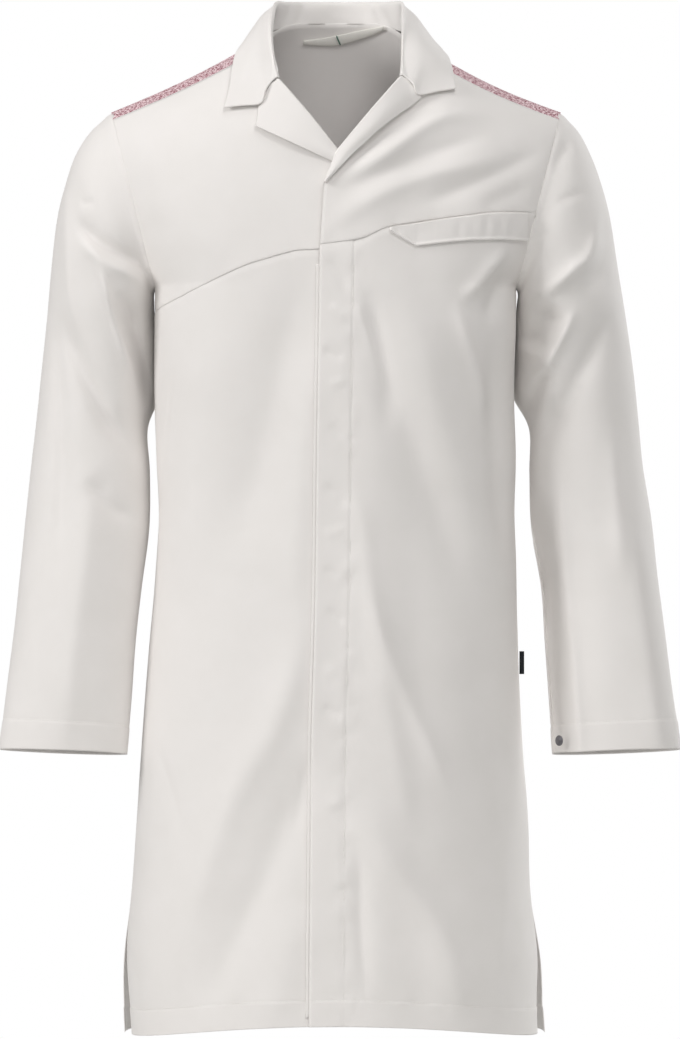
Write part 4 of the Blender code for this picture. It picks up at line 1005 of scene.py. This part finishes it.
def back():
    p = np.linspace(-1.0, 1.0, backPanel["columns"])
    p = np.sort(np.concatenate((p, (-shoulderFrom(), shoulderFrom()))))
    v = spread(*backPanel["rows"])[:, None]
    inside = np.abs(p) < shoulderFrom() - 1e-6
    topH = np.where(inside, body["shoulderZ"] - backPanel["neckDrop"], rearSeamLevel(p))
    sideTop = levelAt(body["backInsertLevel"])
    h = body["hemZ"] + (sideTop - body["hemZ"]) * v
    fan = np.clip((v - backPanel["fanFrom"]) / (1.0 - backPanel["fanFrom"]), 0.0, 1.0)
    h = h + fan * (topH - sideTop)[None]
    p = np.repeat(p[None], len(v), axis=0)
    bare = bareBody(p, h, 1)
    x, z = bare[..., 0], bare[..., 2]
    above = z - body["hemZ"] - fronts["hem"]
    stitched = np.array(((-0.24, body["hemZ"] + fronts["hem"]), (0.24, body["hemZ"] + fronts["hem"])))
    lift = fronts["hemStep"] * (1.0 - stepShare(above)) + seamTouch(x, z, stitched, seed=seeds["backHem"])
    points, normals = bodySurface(p, h, 1, lift)
    piece = makeSheet("back_panel", points, normals, whiteCloth, anchor=p.shape[1] // 2)
    finishPiece(piece, "back")
    hemP = np.linspace(-0.985, 0.985, 900)
    hemH = np.full(900, body["hemZ"] + fronts["hem"])
    stitches("back_hem_stitches", *bodySurface(hemP, hemH, 1), "back")
    return piece


lowerFront(-1)
lowerFront(1)
yoke(-1)
yoke(1)
back()
print("fronts, yokes and back ready")

# The sleeves: outer point (x, z), inner point (x, z), half-depth, middle y, how far the inner
# point lies back, and how far the left sleeve's outer and inner points stand further out
sleeveSections = (
    (0.2560, -0.0880, 0.1910, -0.2600, 0.072, 0.002, 0.000, -0.0030, 0.0000),
    (0.2728, -0.1130, 0.1912, -0.2690, 0.075, 0.003, 0.005, -0.0060, -0.0008),
    (0.2832, -0.1420, 0.1910, -0.2800, 0.076, 0.005, 0.012, -0.0054, -0.0014),
    (0.2928, -0.1800, 0.1900, -0.2950, 0.075, 0.007, 0.020, -0.0048, -0.0014),
    (0.2990, -0.2300, 0.1885, -0.3150, 0.073, 0.010, 0.028, -0.0030, -0.0010),
    (0.3040, -0.2850, 0.1870, -0.3380, 0.070, 0.013, 0.033, 0.0010, 0.0000),
    (0.3100, -0.3400, 0.1865, -0.3660, 0.067, 0.016, 0.028, 0.0030, 0.0005),
    (0.3155, -0.3920, 0.1985, -0.4010, 0.065, 0.018, 0.005, 0.0030, 0.0050),
    (0.3210, -0.4400, 0.1960, -0.4480, 0.063, 0.016, 0.000, 0.0020, 0.0077),
    (0.3265, -0.4950, 0.1965, -0.5060, 0.060, 0.011, 0.000, 0.0050, 0.0090),
    (0.3320, -0.5550, 0.2040, -0.5670, 0.056, 0.003, 0.000, 0.0055, 0.0120),
    (0.3375, -0.6120, 0.2100, -0.6240, 0.051, -0.005, 0.000, 0.0070, 0.0095),
    (0.3450, -0.6750, 0.2140, -0.6850, 0.045, -0.014, 0.000, 0.0070, 0.0095),
    (0.3520, -0.7370, 0.2185, -0.7420, 0.037, -0.024, 0.000, 0.0090, 0.0083),
)
sleeves = {
    "cuffTilt": 0.10,
    "leanSpan": 0.30,
    "leanPower": 1.5,
    "tuck": 0.0016,
    "under": 0.0012,
    "foldGain": 1.3,
    "around": 132,
    "rows": ((0.05, 18), (0.93, 170), (1.0, 26)),
    "hem": 0.030,
    "hemStep": 0.0005,
    "groove": 0.0004,
    "grooveWidth": 0.0011,
    "gather": 0.0004,
    "gatherCell": (0.010, 0.018),
    "gatherReach": 0.008,
    "crown": 0.0013,
    "crownAt": 0.005,
    "settle": 0.025,
    "girth": 0.065,
    "tiltSpan": 0.45,
    "held": "hung",
}

# x is measured from the coat's middle to the sleeve's own side
sleeveCreases = {
    (-1, -1): (
        (((0.269, -0.180), (0.255, -0.202), (0.232, -0.218), (0.213, -0.227), (0.193, -0.244)), 0.009, -0.0080),
        (((0.268, -0.198), (0.254, -0.218), (0.231, -0.235), (0.212, -0.243), (0.194, -0.259)), 0.009, 0.0060),
        (((0.226, -0.258), (0.214, -0.290), (0.204, -0.335), (0.197, -0.385)), 0.013, -0.0210),
        (((0.250, -0.225), (0.241, -0.249), (0.231, -0.286), (0.217, -0.327), (0.204, -0.372)), 0.006, 0.0085),
        (((0.289, -0.274), (0.276, -0.311), (0.258, -0.353), (0.235, -0.398), (0.206, -0.434)), 0.013, -0.0085),
        (((0.300, -0.270), (0.290, -0.326), (0.286, -0.437), (0.290, -0.560)), 0.011, -0.0050),
        (((0.278, -0.126), (0.282, -0.170), (0.280, -0.240), (0.272, -0.300)), 0.008, 0.0035),
        (((0.266, -0.168), (0.249, -0.168)), 0.004, -0.0020),
        (((0.261, -0.453), (0.233, -0.485), (0.206, -0.497)), 0.013, -0.0045),
        (((0.250, -0.430), (0.262, -0.540), (0.276, -0.660), (0.284, -0.760)), 0.020, 0.0045),
    ),
    (1, -1): (
        (((0.244, -0.101), (0.219, -0.134)), 0.009, -0.0050),
        (((0.227, -0.168), (0.266, -0.153)), 0.004, -0.0020),
        (((0.274, -0.176), (0.272, -0.202), (0.264, -0.225), (0.247, -0.238), (0.222, -0.258), (0.199, -0.267)),
         0.010, 0.0080),
        (((0.284, -0.176), (0.281, -0.215), (0.272, -0.243), (0.256, -0.262)), 0.014, -0.0065),
        (((0.224, -0.272), (0.211, -0.296), (0.199, -0.320)), 0.016, -0.0150),
        (((0.248, -0.279), (0.232, -0.312), (0.216, -0.340), (0.200, -0.358)), 0.008, 0.0080),
        (((0.222, -0.335), (0.209, -0.364), (0.198, -0.398)), 0.011, -0.0120),
        (((0.221, -0.345), (0.215, -0.380), (0.209, -0.405)), 0.007, 0.0040),
        (((0.293, -0.269), (0.246, -0.361), (0.215, -0.428)), 0.014, -0.0070),
        (((0.206, -0.455), (0.214, -0.510), (0.224, -0.580), (0.231, -0.685), (0.238, -0.800)), 0.013, -0.0190),
        (((0.232, -0.450), (0.236, -0.540), (0.243, -0.620), (0.250, -0.700), (0.256, -0.790)), 0.009, 0.0065),
        (((0.290, -0.400), (0.292, -0.470), (0.298, -0.560)), 0.014, 0.0035),
        (((0.306, -0.450), (0.320, -0.560), (0.333, -0.670), (0.344, -0.790)), 0.024, 0.0065),
    ),
    (-1, 1): (
        (((0.282, -0.180), (0.240, -0.225), (0.196, -0.262)), 0.018, -0.0050),
        (((0.296, -0.330), (0.262, -0.400), (0.214, -0.440)), 0.016, 0.0045),
        (((0.306, -0.420), (0.268, -0.455), (0.216, -0.478)), 0.012, -0.0040),
        (((0.262, -0.500), (0.270, -0.600), (0.284, -0.720)), 0.020, 0.0035),
    ),
    (1, 1): (
        (((0.280, -0.170), (0.242, -0.215), (0.196, -0.256)), 0.018, -0.0050),
        (((0.300, -0.350), (0.258, -0.410), (0.212, -0.446)), 0.016, 0.0045),
        (((0.308, -0.440), (0.270, -0.468), (0.214, -0.486)), 0.012, -0.0040),
        (((0.268, -0.520), (0.276, -0.620), (0.290, -0.730)), 0.020, 0.0035),
    ),
}


def readRows(rows, at):
    # rows of points read between each other on cubic curves; at counts rows from 0
    flat = rows.reshape(len(rows), -1)
    slopes = np.gradient(flat, axis=0)
    row = np.clip(np.floor(at).astype(int), 0, len(rows) - 2)
    t = (at - row)[:, None]
    rising = t * t * (3.0 - 2.0 * t)
    read = (1 - rising) * flat[row] + rising * flat[row + 1]
    read = read + t * (1 - t) ** 2 * slopes[row] + t * t * (t - 1) * slopes[row + 1]
    return read.reshape((len(at),) + rows.shape[1:])


def sleeveBare(side, phi):
    # sections from the armhole to the cuff at angles phi: 0 under the arm, 90 deg in front
    around = 0.5 * (1.0 - np.cos(phi))
    face = np.where(np.sin(phi) > 0, -1, 1)
    p, h = np.full(len(phi), float(side)), levelAt(around)
    ahead, aheadOut = bodySurface(p, h, -1)
    behind, behindOut = bodySurface(p, h, 1)
    ahead, behind = ahead - aheadOut * sleeves["under"], behind - behindOut * sleeves["under"]
    ring = np.where((face < 0)[:, None], ahead, behind)
    ring = ring - np.array((side * sleeves["tuck"], 0.0, 0.0))
    rings = [ring]
    tail = np.clip(1.0 - around / sleeves["leanSpan"], 0.0, 1.0) ** sleeves["leanPower"]
    for outX, outZ, inX, inZ, depth, middle, lean, outMore, inMore in sleeveSections:
        near, far = (inX + inMore, outX + outMore) if side > 0 else (inX, outX)
        x = near + (far - near) * around
        belly = -np.sin(phi)
        tilt = sleeves["cuffTilt"] * ease((body["armpitZ"] - inZ) / sleeves["tiltSpan"])
        z = inZ + (outZ - inZ) * around - belly * depth * tilt
        rings.append(np.stack((side * x, middle + belly * depth + lean * tail, z), axis=-1))
    return np.array(rings)


def sleeve(side):
    phi = np.linspace(0.0, 2.0 * math.pi, sleeves["around"], endpoint=False)
    control = sleeveBare(side, phi)
    dense = readRows(control, np.linspace(0.0, len(control) - 1, 600))
    run = np.concatenate(([0.0], np.cumsum(np.linalg.norm(np.diff(dense, axis=0), axis=-1).mean(axis=1))))
    at = np.interp(spread(*sleeves["rows"]) * run[-1], run, np.linspace(0.0, len(control) - 1, 600))
    points = readRows(control, at)
    normals = gridNormals(points, wrap=True)
    outward = points - points.mean(axis=1, keepdims=True)
    normals *= np.sign(np.sum(normals * outward, axis=-1, keepdims=True))
    x, z = side * points[..., 0], points[..., 2]
    down = np.interp(at, np.linspace(0.0, len(control) - 1, 600), run)[:, None] + 0.0 * x
    front = ease((np.sin(phi) + 0.25) / 0.5)[None]
    folds = sleeves["foldGain"] * creaseField(x, z, sleeveCreases[(side, -1)]) * front
    folds = folds + sleeves["foldGain"] * creaseField(x, z, sleeveCreases[(side, 1)]) * (1.0 - front)
    around = sleeves["girth"] * np.abs(phi - math.pi)[None] + 0.0 * z
    folds = (folds + drape(around, z, seeds["sleeve"][side])) * ease(down / sleeves["settle"])
    crown = sleeves["crown"] * np.exp(-((down - sleeves["crownAt"]) / sleeves["crownAt"]) ** 2)
    stitched = run[-1] - sleeves["hem"]
    past = down - stitched
    band = sleeves["hemStep"] * stepShare(past)
    groove = -sleeves["groove"] * np.exp(-(past / sleeves["grooveWidth"]) ** 2)
    gather = softNoise(around, down, *sleeves["gatherCell"], seeds["cuff"] + side)
    gather = sleeves["gather"] * gather * np.exp(-(past / sleeves["gatherReach"]) ** 2)
    points = points + normals * (crown + band + groove + gather)[..., None]
    # folds move front to back only, so they leave the sleeve's outline alone
    points[..., 1] -= (2.0 * front - 1.0) * folds
    name = "sleeve_tube_left" if side > 0 else "sleeve_tube_right"
    piece = makeSheet(name, points, normals, whiteCloth, wrap=True)
    node = "sleeve_left" if side > 0 else "sleeve_right"
    finishPiece(piece, node)
    seamRow = int(np.argmin(np.abs(down[:, 0] - stitched)))
    ring = np.concatenate((points[seamRow], points[seamRow, :1]))
    stitches(node + "_stitches", ring, np.concatenate((normals[seamRow], normals[seamRow, :1])), node)
    return piece


sleeve(-1)
sleeve(1)
print("sleeves ready")

# The collar: neck seam x, z; roll x, y, z; leaf edge x, z; leaf face (1 back, -1 front)
collarStations = {
    0: ((0.0000, 0.0340, 0.0000, 0.0760, 0.0550, 0.0000, -0.0100, 1),
        (0.0340, 0.0331, 0.0310, 0.0710, 0.0545, 0.0440, -0.0110, 1),
        (0.0480, 0.0303, 0.0430, 0.0640, 0.0538, 0.0630, -0.0092, 1),
        (0.0600, 0.0249, 0.0530, 0.0540, 0.0527, 0.0800, -0.0060, 1)),
    -1: ((0.0740, 0.0129, 0.0640, 0.0290, 0.0500, 0.0930, -0.0010, 1),
         (0.0775, 0.0070, 0.0672, -0.0120, 0.0330, 0.1010, -0.0150, -1),
         (0.0750, -0.0060, 0.0675, -0.0480, 0.0100, 0.1055, -0.0330, -1),
         (0.0690, -0.0240, 0.0650, -0.0730, -0.0160, 0.1085, -0.0530, -1),
         (0.0598, -0.0425, 0.0598, -0.0885, -0.0425, 0.1140, -0.0750, -1)),
    1: ((0.0740, 0.0129, 0.0700, 0.0290, 0.0500, 0.0995, -0.0010, 1),
        (0.0775, 0.0070, 0.0705, -0.0120, 0.0320, 0.1130, -0.0130, -1),
        (0.0760, -0.0060, 0.0700, -0.0480, 0.0100, 0.1175, -0.0270, -1),
        (0.0730, -0.0240, 0.0690, -0.0730, -0.0160, 0.1200, -0.0410, -1),
        (0.0672, -0.0404, 0.0672, -0.0875, -0.0404, 0.1222, -0.0546, -1)),
}
collar = {
    "notch": {-1: (0.0762, -0.0713), 1: (0.0846, -0.0605)},
    "lift": 0.0042,
    "frontLift": {-1: 0.0028, 1: 0.0022},
    "tuck": (0.0040, 0.0012),
    "ply": 0.0021,
    "rollRadius": 0.0030,
    "rollDrop": 0.0040,
    "inside": 0.0030,
    "seamRise": 0.0014,
    "leafSwell": 0.0022,
    "ends": ((0.0006, 0.0026), (0.0026, 0.0030), (0.0048, 0.0012), (0.0052, -0.0040)),
    "rowSteps": 13,
    "columnSteps": 7,
    "held": "folded",
}


def collarHalf(side):
    # nine points of each profile: the seam, up inside the neck, over the roll and down the leaf
    up, rows = np.array((0.0, 0.0, 1.0)), []
    stations = collarStations[0] + collarStations[side]
    for k, (neckX, neckZ, rollX, rollY, rollZ, edgeX, edgeZ, face) in enumerate(stations):
        neck, neckOut = onBody(side * neckX, neckZ, face)
        edge, edgeOut = onBody(side * edgeX, edgeZ, face)
        lift = collar["lift"] + (collar["frontLift"][side] if face < 0 else 0.0)
        edge = edge + edgeOut * lift
        roll = np.array((side * rollX, rollY, rollZ))
        out = np.array((side * rollX * 0.9, rollY, 0.0)) if k else np.array((0.0, 1.0, 0.0))
        out /= np.linalg.norm(out)
        inward = np.array((-side, 0.0, 0.0))
        if k < len(stations) - 1:
            if k < 4:  # behind, the stand's seam lies just outside the back's top edge
                neck = neck - up * collar["tuck"][0] + neckOut * collar["tuck"][1]
            else:
                neck = neck + inward * (collar["inside"] if face < 0 else 0.0) + up * collar["seamRise"]
            drop = up * collar["rollDrop"]
            rollIn, rollOut = roll - out * collar["rollRadius"] - drop, roll + out * collar["rollRadius"] - drop
            middle = 0.5 * (rollOut + edge) + (out + up) * collar["leafSwell"]
        else:
            at = chart(side * neckX, neckZ)
            base = neck + neckOut * yokeLift(at[0], at[1], side)
            neck, rollIn, roll, rollOut = (base + neckOut * off + inward * step for off, step in collar["ends"])
            rollOut = rollOut - up * collar["rollDrop"]
            notchX, notchZ = collar["notch"][side]
            at = chart(side * notchX, notchZ)
            middle, _ = onBody(side * notchX, notchZ, -1, lift + yokeLift(at[0], at[1], side))
        upper = 0.5 * (rollOut + middle) + (out + up) * collar["seamRise"]
        rows.append((neck, 0.5 * (neck + rollIn), rollIn, roll, rollOut, upper, middle,
                     0.5 * (middle + edge), edge))
    return np.array(rows)


def makeCollar():
    right, left = collarHalf(-1), collarHalf(1)
    rows = np.concatenate((right[::-1], left[1:]))
    rows = readRows(rows, np.linspace(0.0, len(rows) - 1, (len(rows) - 1) * collar["rowSteps"] + 1))
    columns = np.swapaxes(rows, 0, 1)
    steps = (len(columns) - 1) * collar["columnSteps"] + 1
    columns = readRows(columns, np.linspace(0.0, len(columns) - 1, steps))
    points = np.swapaxes(columns, 0, 1)
    normals = gridNormals(points)
    middle = len(points) // 2
    if np.sum(normals[middle, -6] * (points[middle, -1] - points[middle, 0])) < 0:
        normals = -normals
    piece = makeSheet("turned_collar", points, normals, whiteCloth, ply=collar["ply"], rounded=True)
    finishPiece(piece, "collar")


lapels = {
    1: {"roll": ((-0.0122, -0.1516), (0.0032, -0.1185), (0.0352, -0.0790), (0.0672, -0.0404)),
        "edge": ((-0.0108, -0.1534), (0.0166, -0.1232), (0.0446, -0.0970), (0.0680, -0.0780),
                 (0.0876, -0.0635), (0.0850, -0.0612))},
    -1: {"roll": ((0.0020, -0.1196), (-0.0283, -0.0805), (-0.0598, -0.0432)),
         "edge": ((-0.0038, -0.1300), (-0.0300, -0.1180), (-0.0570, -0.1055), (-0.0822, -0.0937),
                  (-0.0768, -0.0725))},
    "swell": 0.0034,
    "fadeReach": 0.012,
    "edgeLift": 0.0055,
    "tuck": 0.0030,
    "ply": 0.0020,
    "above": 0.0028,
    "below": -0.0022,
    "rows": 72,
    "turn": 9,
    "flat": 34,
    "held": "folded",
}


def lapel(side):
    # across: round the roll on a half circle from under the front to over it, then flat to the edge
    shape = lapels[side]
    count = np.linspace(0.0, 1.0, lapels["rows"])
    roll = straightLine(shape["roll"], lapels["rows"])
    edge = straightLine(shape["edge"], lapels["rows"])
    turn = np.linspace(-math.pi / 2.0, math.pi / 2.0, lapels["turn"])
    u = np.concatenate((np.zeros(lapels["turn"]), np.linspace(0.0, 1.0, lapels["flat"])[1:]))
    radius = 0.5 * (lapels["above"] - lapels["below"])
    fade = np.clip(np.linalg.norm(edge - roll, axis=-1) / lapels["fadeReach"], 0.0, 1.0)[:, None]
    theta = np.concatenate((turn, np.full(lapels["flat"] - 1, math.pi / 2.0)))[None]
    flat = roll[:, None] * (1.0 - u)[None, :, None] + edge[:, None] * u[None, :, None]
    flat[..., 0] -= side * radius * np.cos(theta) * fade
    ahead = (roll[-1] - roll[-2]) / np.linalg.norm(roll[-1] - roll[-2])
    tuck = lapels["tuck"] * ease((u - 0.06) / 0.20)[None] * ease((count - 0.85) / 0.15)[:, None]
    flat = flat + tuck[..., None] * ahead
    grid = chart(flat[..., 0], flat[..., 1])
    lift = lapels["above"] - radius + radius * np.sin(theta)
    lift = lift + yokeLift(grid[..., 0], grid[..., 1], side)
    lift = lift + lapels["swell"] * np.sin(math.pi * u)[None] * (1.0 - 0.8 * count)[:, None]
    lift = lift + lapels["edgeLift"] * (u ** 2)[None] * np.sin(math.pi * count)[:, None]
    points, normals = bodySurface(grid[..., 0], grid[..., 1], -1, lift)
    outward = gridNormals(points)
    if np.sum(outward[:, -8] * normals[:, -8]) < 0:
        outward = -outward
    piece = makeSheet("lapel_left_leaf" if side > 0 else "lapel_right_leaf", points, outward, whiteCloth,
                      ply=lapels["ply"], rounded=True)
    finishPiece(piece, "lapel_left" if side > 0 else "lapel_right")


inserts = {"middle": 0.36, "columns": 110, "rows": 9, "held": "hung"}


def shoulderInsert(side):
    # the printed strip over the shoulder: front seam, shoulder line, middle and rear seam
    p = side * np.linspace(shoulderFrom(), 1.0, inserts["columns"])
    rear = rearSeamLevel(p)
    middle = body["shoulderZ"] + (rear - body["shoulderZ"]) * inserts["middle"]
    middle[-1] = levelAt(body["insertLevel"])
    ahead, _ = bodySurface(p, np.full(len(p), levelAt(body["insertLevel"])), -1)
    top = bareBody(p, np.full(len(p), body["shoulderZ"]), -1)
    rows = np.array((ahead, top, bodySurface(p, middle, 1)[0], bodySurface(p, rear, 1)[0]))
    points = readRows(rows, np.linspace(0.0, 3.0, 3 * inserts["rows"] + 1))
    outward = gridNormals(points)
    outward *= np.sign(outward[..., 2:3])
    name = "printed_shoulder_left" if side > 0 else "printed_shoulder_right"
    piece = makeSheet(name, points, outward, printCloth)
    finishPiece(piece, "shoulder_insert_left" if side > 0 else "shoulder_insert_right")


flap = {
    "edge": ((0.0554, -0.2015), (0.0818, -0.2169), (0.1076, -0.2134), (0.1344, -0.2105), (0.1720, -0.2084),
             (0.2500, -0.2084)),
    "endX": 0.1975,
    "tack": (0.1895, 0.1955),
    "tackZ": -0.2062,
    "tackOff": 0.0004,
    "tackPitch": 0.00065,
    "tackLength": 0.0024,
    "below": 0.0012,
    "least": 0.0040,
    "ply": 0.0018,
    "lift": 0.0026,
    "rim": 0.0012,
    "rimAt": 0.0018,
    "rimWidth": 0.0013,
    "pucker": 0.0007,
    "puckerCell": (0.007, 0.040),
    "columns": 150,
    "rows": 26,
    "held": "hung",
}


def pocketFlap():
    x = np.linspace(flap["edge"][0][0], flap["endX"], flap["columns"])
    topZ = np.interp(x, *sortedLine(yokeSeamLeft)) - flap["below"]
    low = np.array(flap["edge"])
    lowZ = np.minimum(np.interp(x, low[:, 0], low[:, 1]), topZ - flap["least"])
    v = np.linspace(0.0, 1.0, flap["rows"])[:, None]
    z = lowZ[None] * (1.0 - v) + topZ[None] * v
    x = np.repeat(x[None], flap["rows"], axis=0)
    rim = flap["rim"] * np.exp(-((z - lowZ[None] - flap["rimAt"]) / flap["rimWidth"]) ** 2)
    lift = flap["lift"] + lapLift(x) + rim
    lift = lift + flap["pucker"] * softNoise(x, z, *flap["puckerCell"], seeds["flap"]) * np.sin(math.pi * v)
    points, normals = onBody(x, z, -1, lift)
    piece = makeSheet("chest_pocket_flap", points, normals, whiteCloth, ply=flap["ply"], rounded=True)
    finishPiece(piece, "pocket_flap")
    tackX = np.linspace(*flap["tack"], 30)
    tackPoints, tackOut = onBody(tackX, np.full(30, flap["tackZ"]), -1,
                               flap["lift"] + lapLift(tackX) + flap["tackOff"])
    stitches("bar_tack_stitches", tackPoints, tackOut, "pocket_flap", pitch=flap["tackPitch"],
             length=flap["tackLength"], across=True)


fly = {"z": (-1.006, -0.235), "x": (-0.0035, 0.0300), "lift": 0.0019, "ply": 0.0010, "rows": 240, "columns": 12,
       "held": "hung"}


def flyStrip():
    z = np.linspace(*fly["z"], fly["rows"])
    x = lapEdgeX(z)[:, None] + np.linspace(*fly["x"], fly["columns"])[None]
    points, normals = onBody(x, np.repeat(z[:, None], fly["columns"], axis=1), -1, fly["lift"])
    piece = makeSheet("fly_underlay", points, normals, whiteCloth, ply=fly["ply"])
    finishPiece(piece, "fly_strip")


loop = {
    "low": ((-0.0365, 0.0105), (-0.0150, 0.0098), (0.0040, 0.0108), (0.0280, 0.0165), (0.0530, 0.0235)),
    "high": ((-0.0365, 0.0150), (-0.0180, 0.0175), (0.0040, 0.0216), (0.0300, 0.0262), (0.0530, 0.0280)),
    "inside": 0.0028,
    "ply": 0.0010,
    "columns": 60,
    "rows": 9,
    "crown": 0.0008,
    "sag": 0.0010,
    "flat": 0.0085,
    "markX": (0.0005, 0.0052),
    "markOff": 0.0005,
    "markRadius": 0.0008,
    "held": "folded",
}


def hangingLoop():
    low, high = smoothLine(loop["low"], loop["columns"]), smoothLine(loop["high"], loop["columns"])
    u, v = np.linspace(0.0, 1.0, loop["columns"])[None], np.linspace(0.0, 1.0, loop["rows"])[:, None]
    x, z = low[:, 0] * (1.0 - v) + high[:, 0] * v, low[:, 1] * (1.0 - v) + high[:, 1] * v
    lift = -(body["ply"] + loop["inside"]) - loop["crown"] * np.sin(math.pi * v)
    lift = lift - loop["sag"] * np.sin(math.pi * u)
    points, normals = onBody(x, z, 1, lift)
    piece = makeSheet("hanging_loop_tape", points, -normals, tapeCloth, ply=loop["ply"], rounded=True)
    finishPiece(piece, "hanging_loop")
    markX = np.linspace(*loop["markX"], 12)
    markZ = np.linspace(np.interp(markX[0], high[:, 0], high[:, 1]),
                        np.interp(markX[-1], low[:, 0], low[:, 1]), 12)
    markPoints, markOut = onBody(markX, markZ, 1, float(np.min(lift)) - loop["markOff"])
    length = float(np.linalg.norm(markPoints[-1] - markPoints[0]))
    stitches("loop_mark_stitch", markPoints, -markOut, "hanging_loop", pitch=0.99 * length, length=length,
             radius=loop["markRadius"], thread=greenThread, slot="loop_tape")


tab = {"size": (0.0050, 0.0012, 0.0240), "z": -0.647, "off": 0.0009, "ply": 0.00045}


def sideTab():
    # a folded tape caught in the left side seam, its loop end rounded
    width, thick, tall = tab["size"]
    edge = float(readTable(bodySections, 1, np.array(tab["z"])) + panelHalf(np.array(tab["z"]), 1))
    turn = np.linspace(-math.pi / 2.0, math.pi / 2.0, 9)
    reach = edge + tab["off"] + np.concatenate(([0.0], width - thick / 2.0 + thick / 2.0 * np.cos(turn), [0.0]))
    depth = thick / 2.0 * np.concatenate(([-1.0], np.sin(turn), [1.0]))
    z = tab["z"] + np.linspace(-0.5, 0.5, 25) * tall
    x, z = np.meshgrid(reach, z)
    y = np.repeat(depth[None], 25, axis=0)
    points = np.stack((x, y, z), axis=-1)
    outward = gridNormals(points)
    if np.sum(outward[..., 0] * (points[..., 0] - edge)) < 0:
        outward = -outward
    piece = makeSheet("side_tab_tape", points, outward, darkTape, ply=tab["ply"])
    finishPiece(piece, "side_tab")


stud = {"radius": 0.0055, "height": 0.0022, "share": 0.055, "rise": 0.013, "off": 0.0007,
        "spread": 0.02,
        "profile": ((0.0, 0.0), (0.90, 0.0), (1.0, 0.12), (1.0, 0.34), (0.93, 0.56), (0.80, 0.62), (0.72, 0.58),
                    (0.66, 0.66), (0.40, 0.86), (0.0, 1.0))}


def cuffStud():
    # a turned press-stud cap: its profile carried once round its axis
    shares = np.array((stud["share"] - stud["spread"], stud["share"], stud["share"] + stud["spread"]))
    phi = np.arccos(1.0 - 2.0 * shares)
    low, high = sleeveBare(1, phi)[-1], sleeveBare(1, phi)[-2]
    ring = low + (high - low) * stud["rise"] / abs(high[1, 2] - low[1, 2])
    axis = np.cross(ring[2] - ring[0], high[1] - low[1])
    axis *= -np.sign(axis[1]) / np.linalg.norm(axis)
    first = np.cross(axis, (0.0, 0.0, 1.0))
    first /= np.linalg.norm(first)
    second = np.cross(axis, first)
    profile = smoothLine(stud["profile"], 26)
    turn = np.linspace(0.0, 2.0 * math.pi, 48, endpoint=False)[:, None]
    circle = np.cos(turn) * first + np.sin(turn) * second
    base = ring[1] + axis * stud["off"]
    points = base + profile[1:-1, None, :1] * stud["radius"] * circle[None]
    points = points + axis * profile[1:-1, None, 1:] * stud["height"]
    count = points.shape[1]
    index = np.arange(points.shape[0] * count).reshape(-1, count)
    after = np.roll(index, -1, axis=1)
    quads = np.stack((index[:-1], index[1:], after[1:], after[:-1]), axis=-1)
    faces = quads.reshape(-1, 4).tolist()
    low, top = len(index) * count, len(index) * count + 1
    faces += [(int(a), low, int(b)) for a, b in zip(np.roll(index[0], -1), index[0])]
    faces += [(int(b), top, int(a)) for a, b in zip(np.roll(index[-1], -1), index[-1])]
    verts = points.reshape(-1, 3).tolist() + [base.tolist(), (base + axis * stud["height"]).tolist()]
    mesh = bpy.data.meshes.new("press_stud_cap")
    mesh.from_pydata(verts, [], faces)
    outwardFaces(mesh)
    mesh.shade_smooth()
    mesh.materials.append(studMetal)
    finishPiece(addObject("press_stud_cap", mesh), "cuff_stud")


makeCollar()
lapel(-1)
lapel(1)
shoulderInsert(-1)
shoulderInsert(1)
pocketFlap()
flyStrip()
hangingLoop()
sideTab()
cuffStud()
print("collar, lapels, shoulders, flap, fly, loop, tab and stud ready")
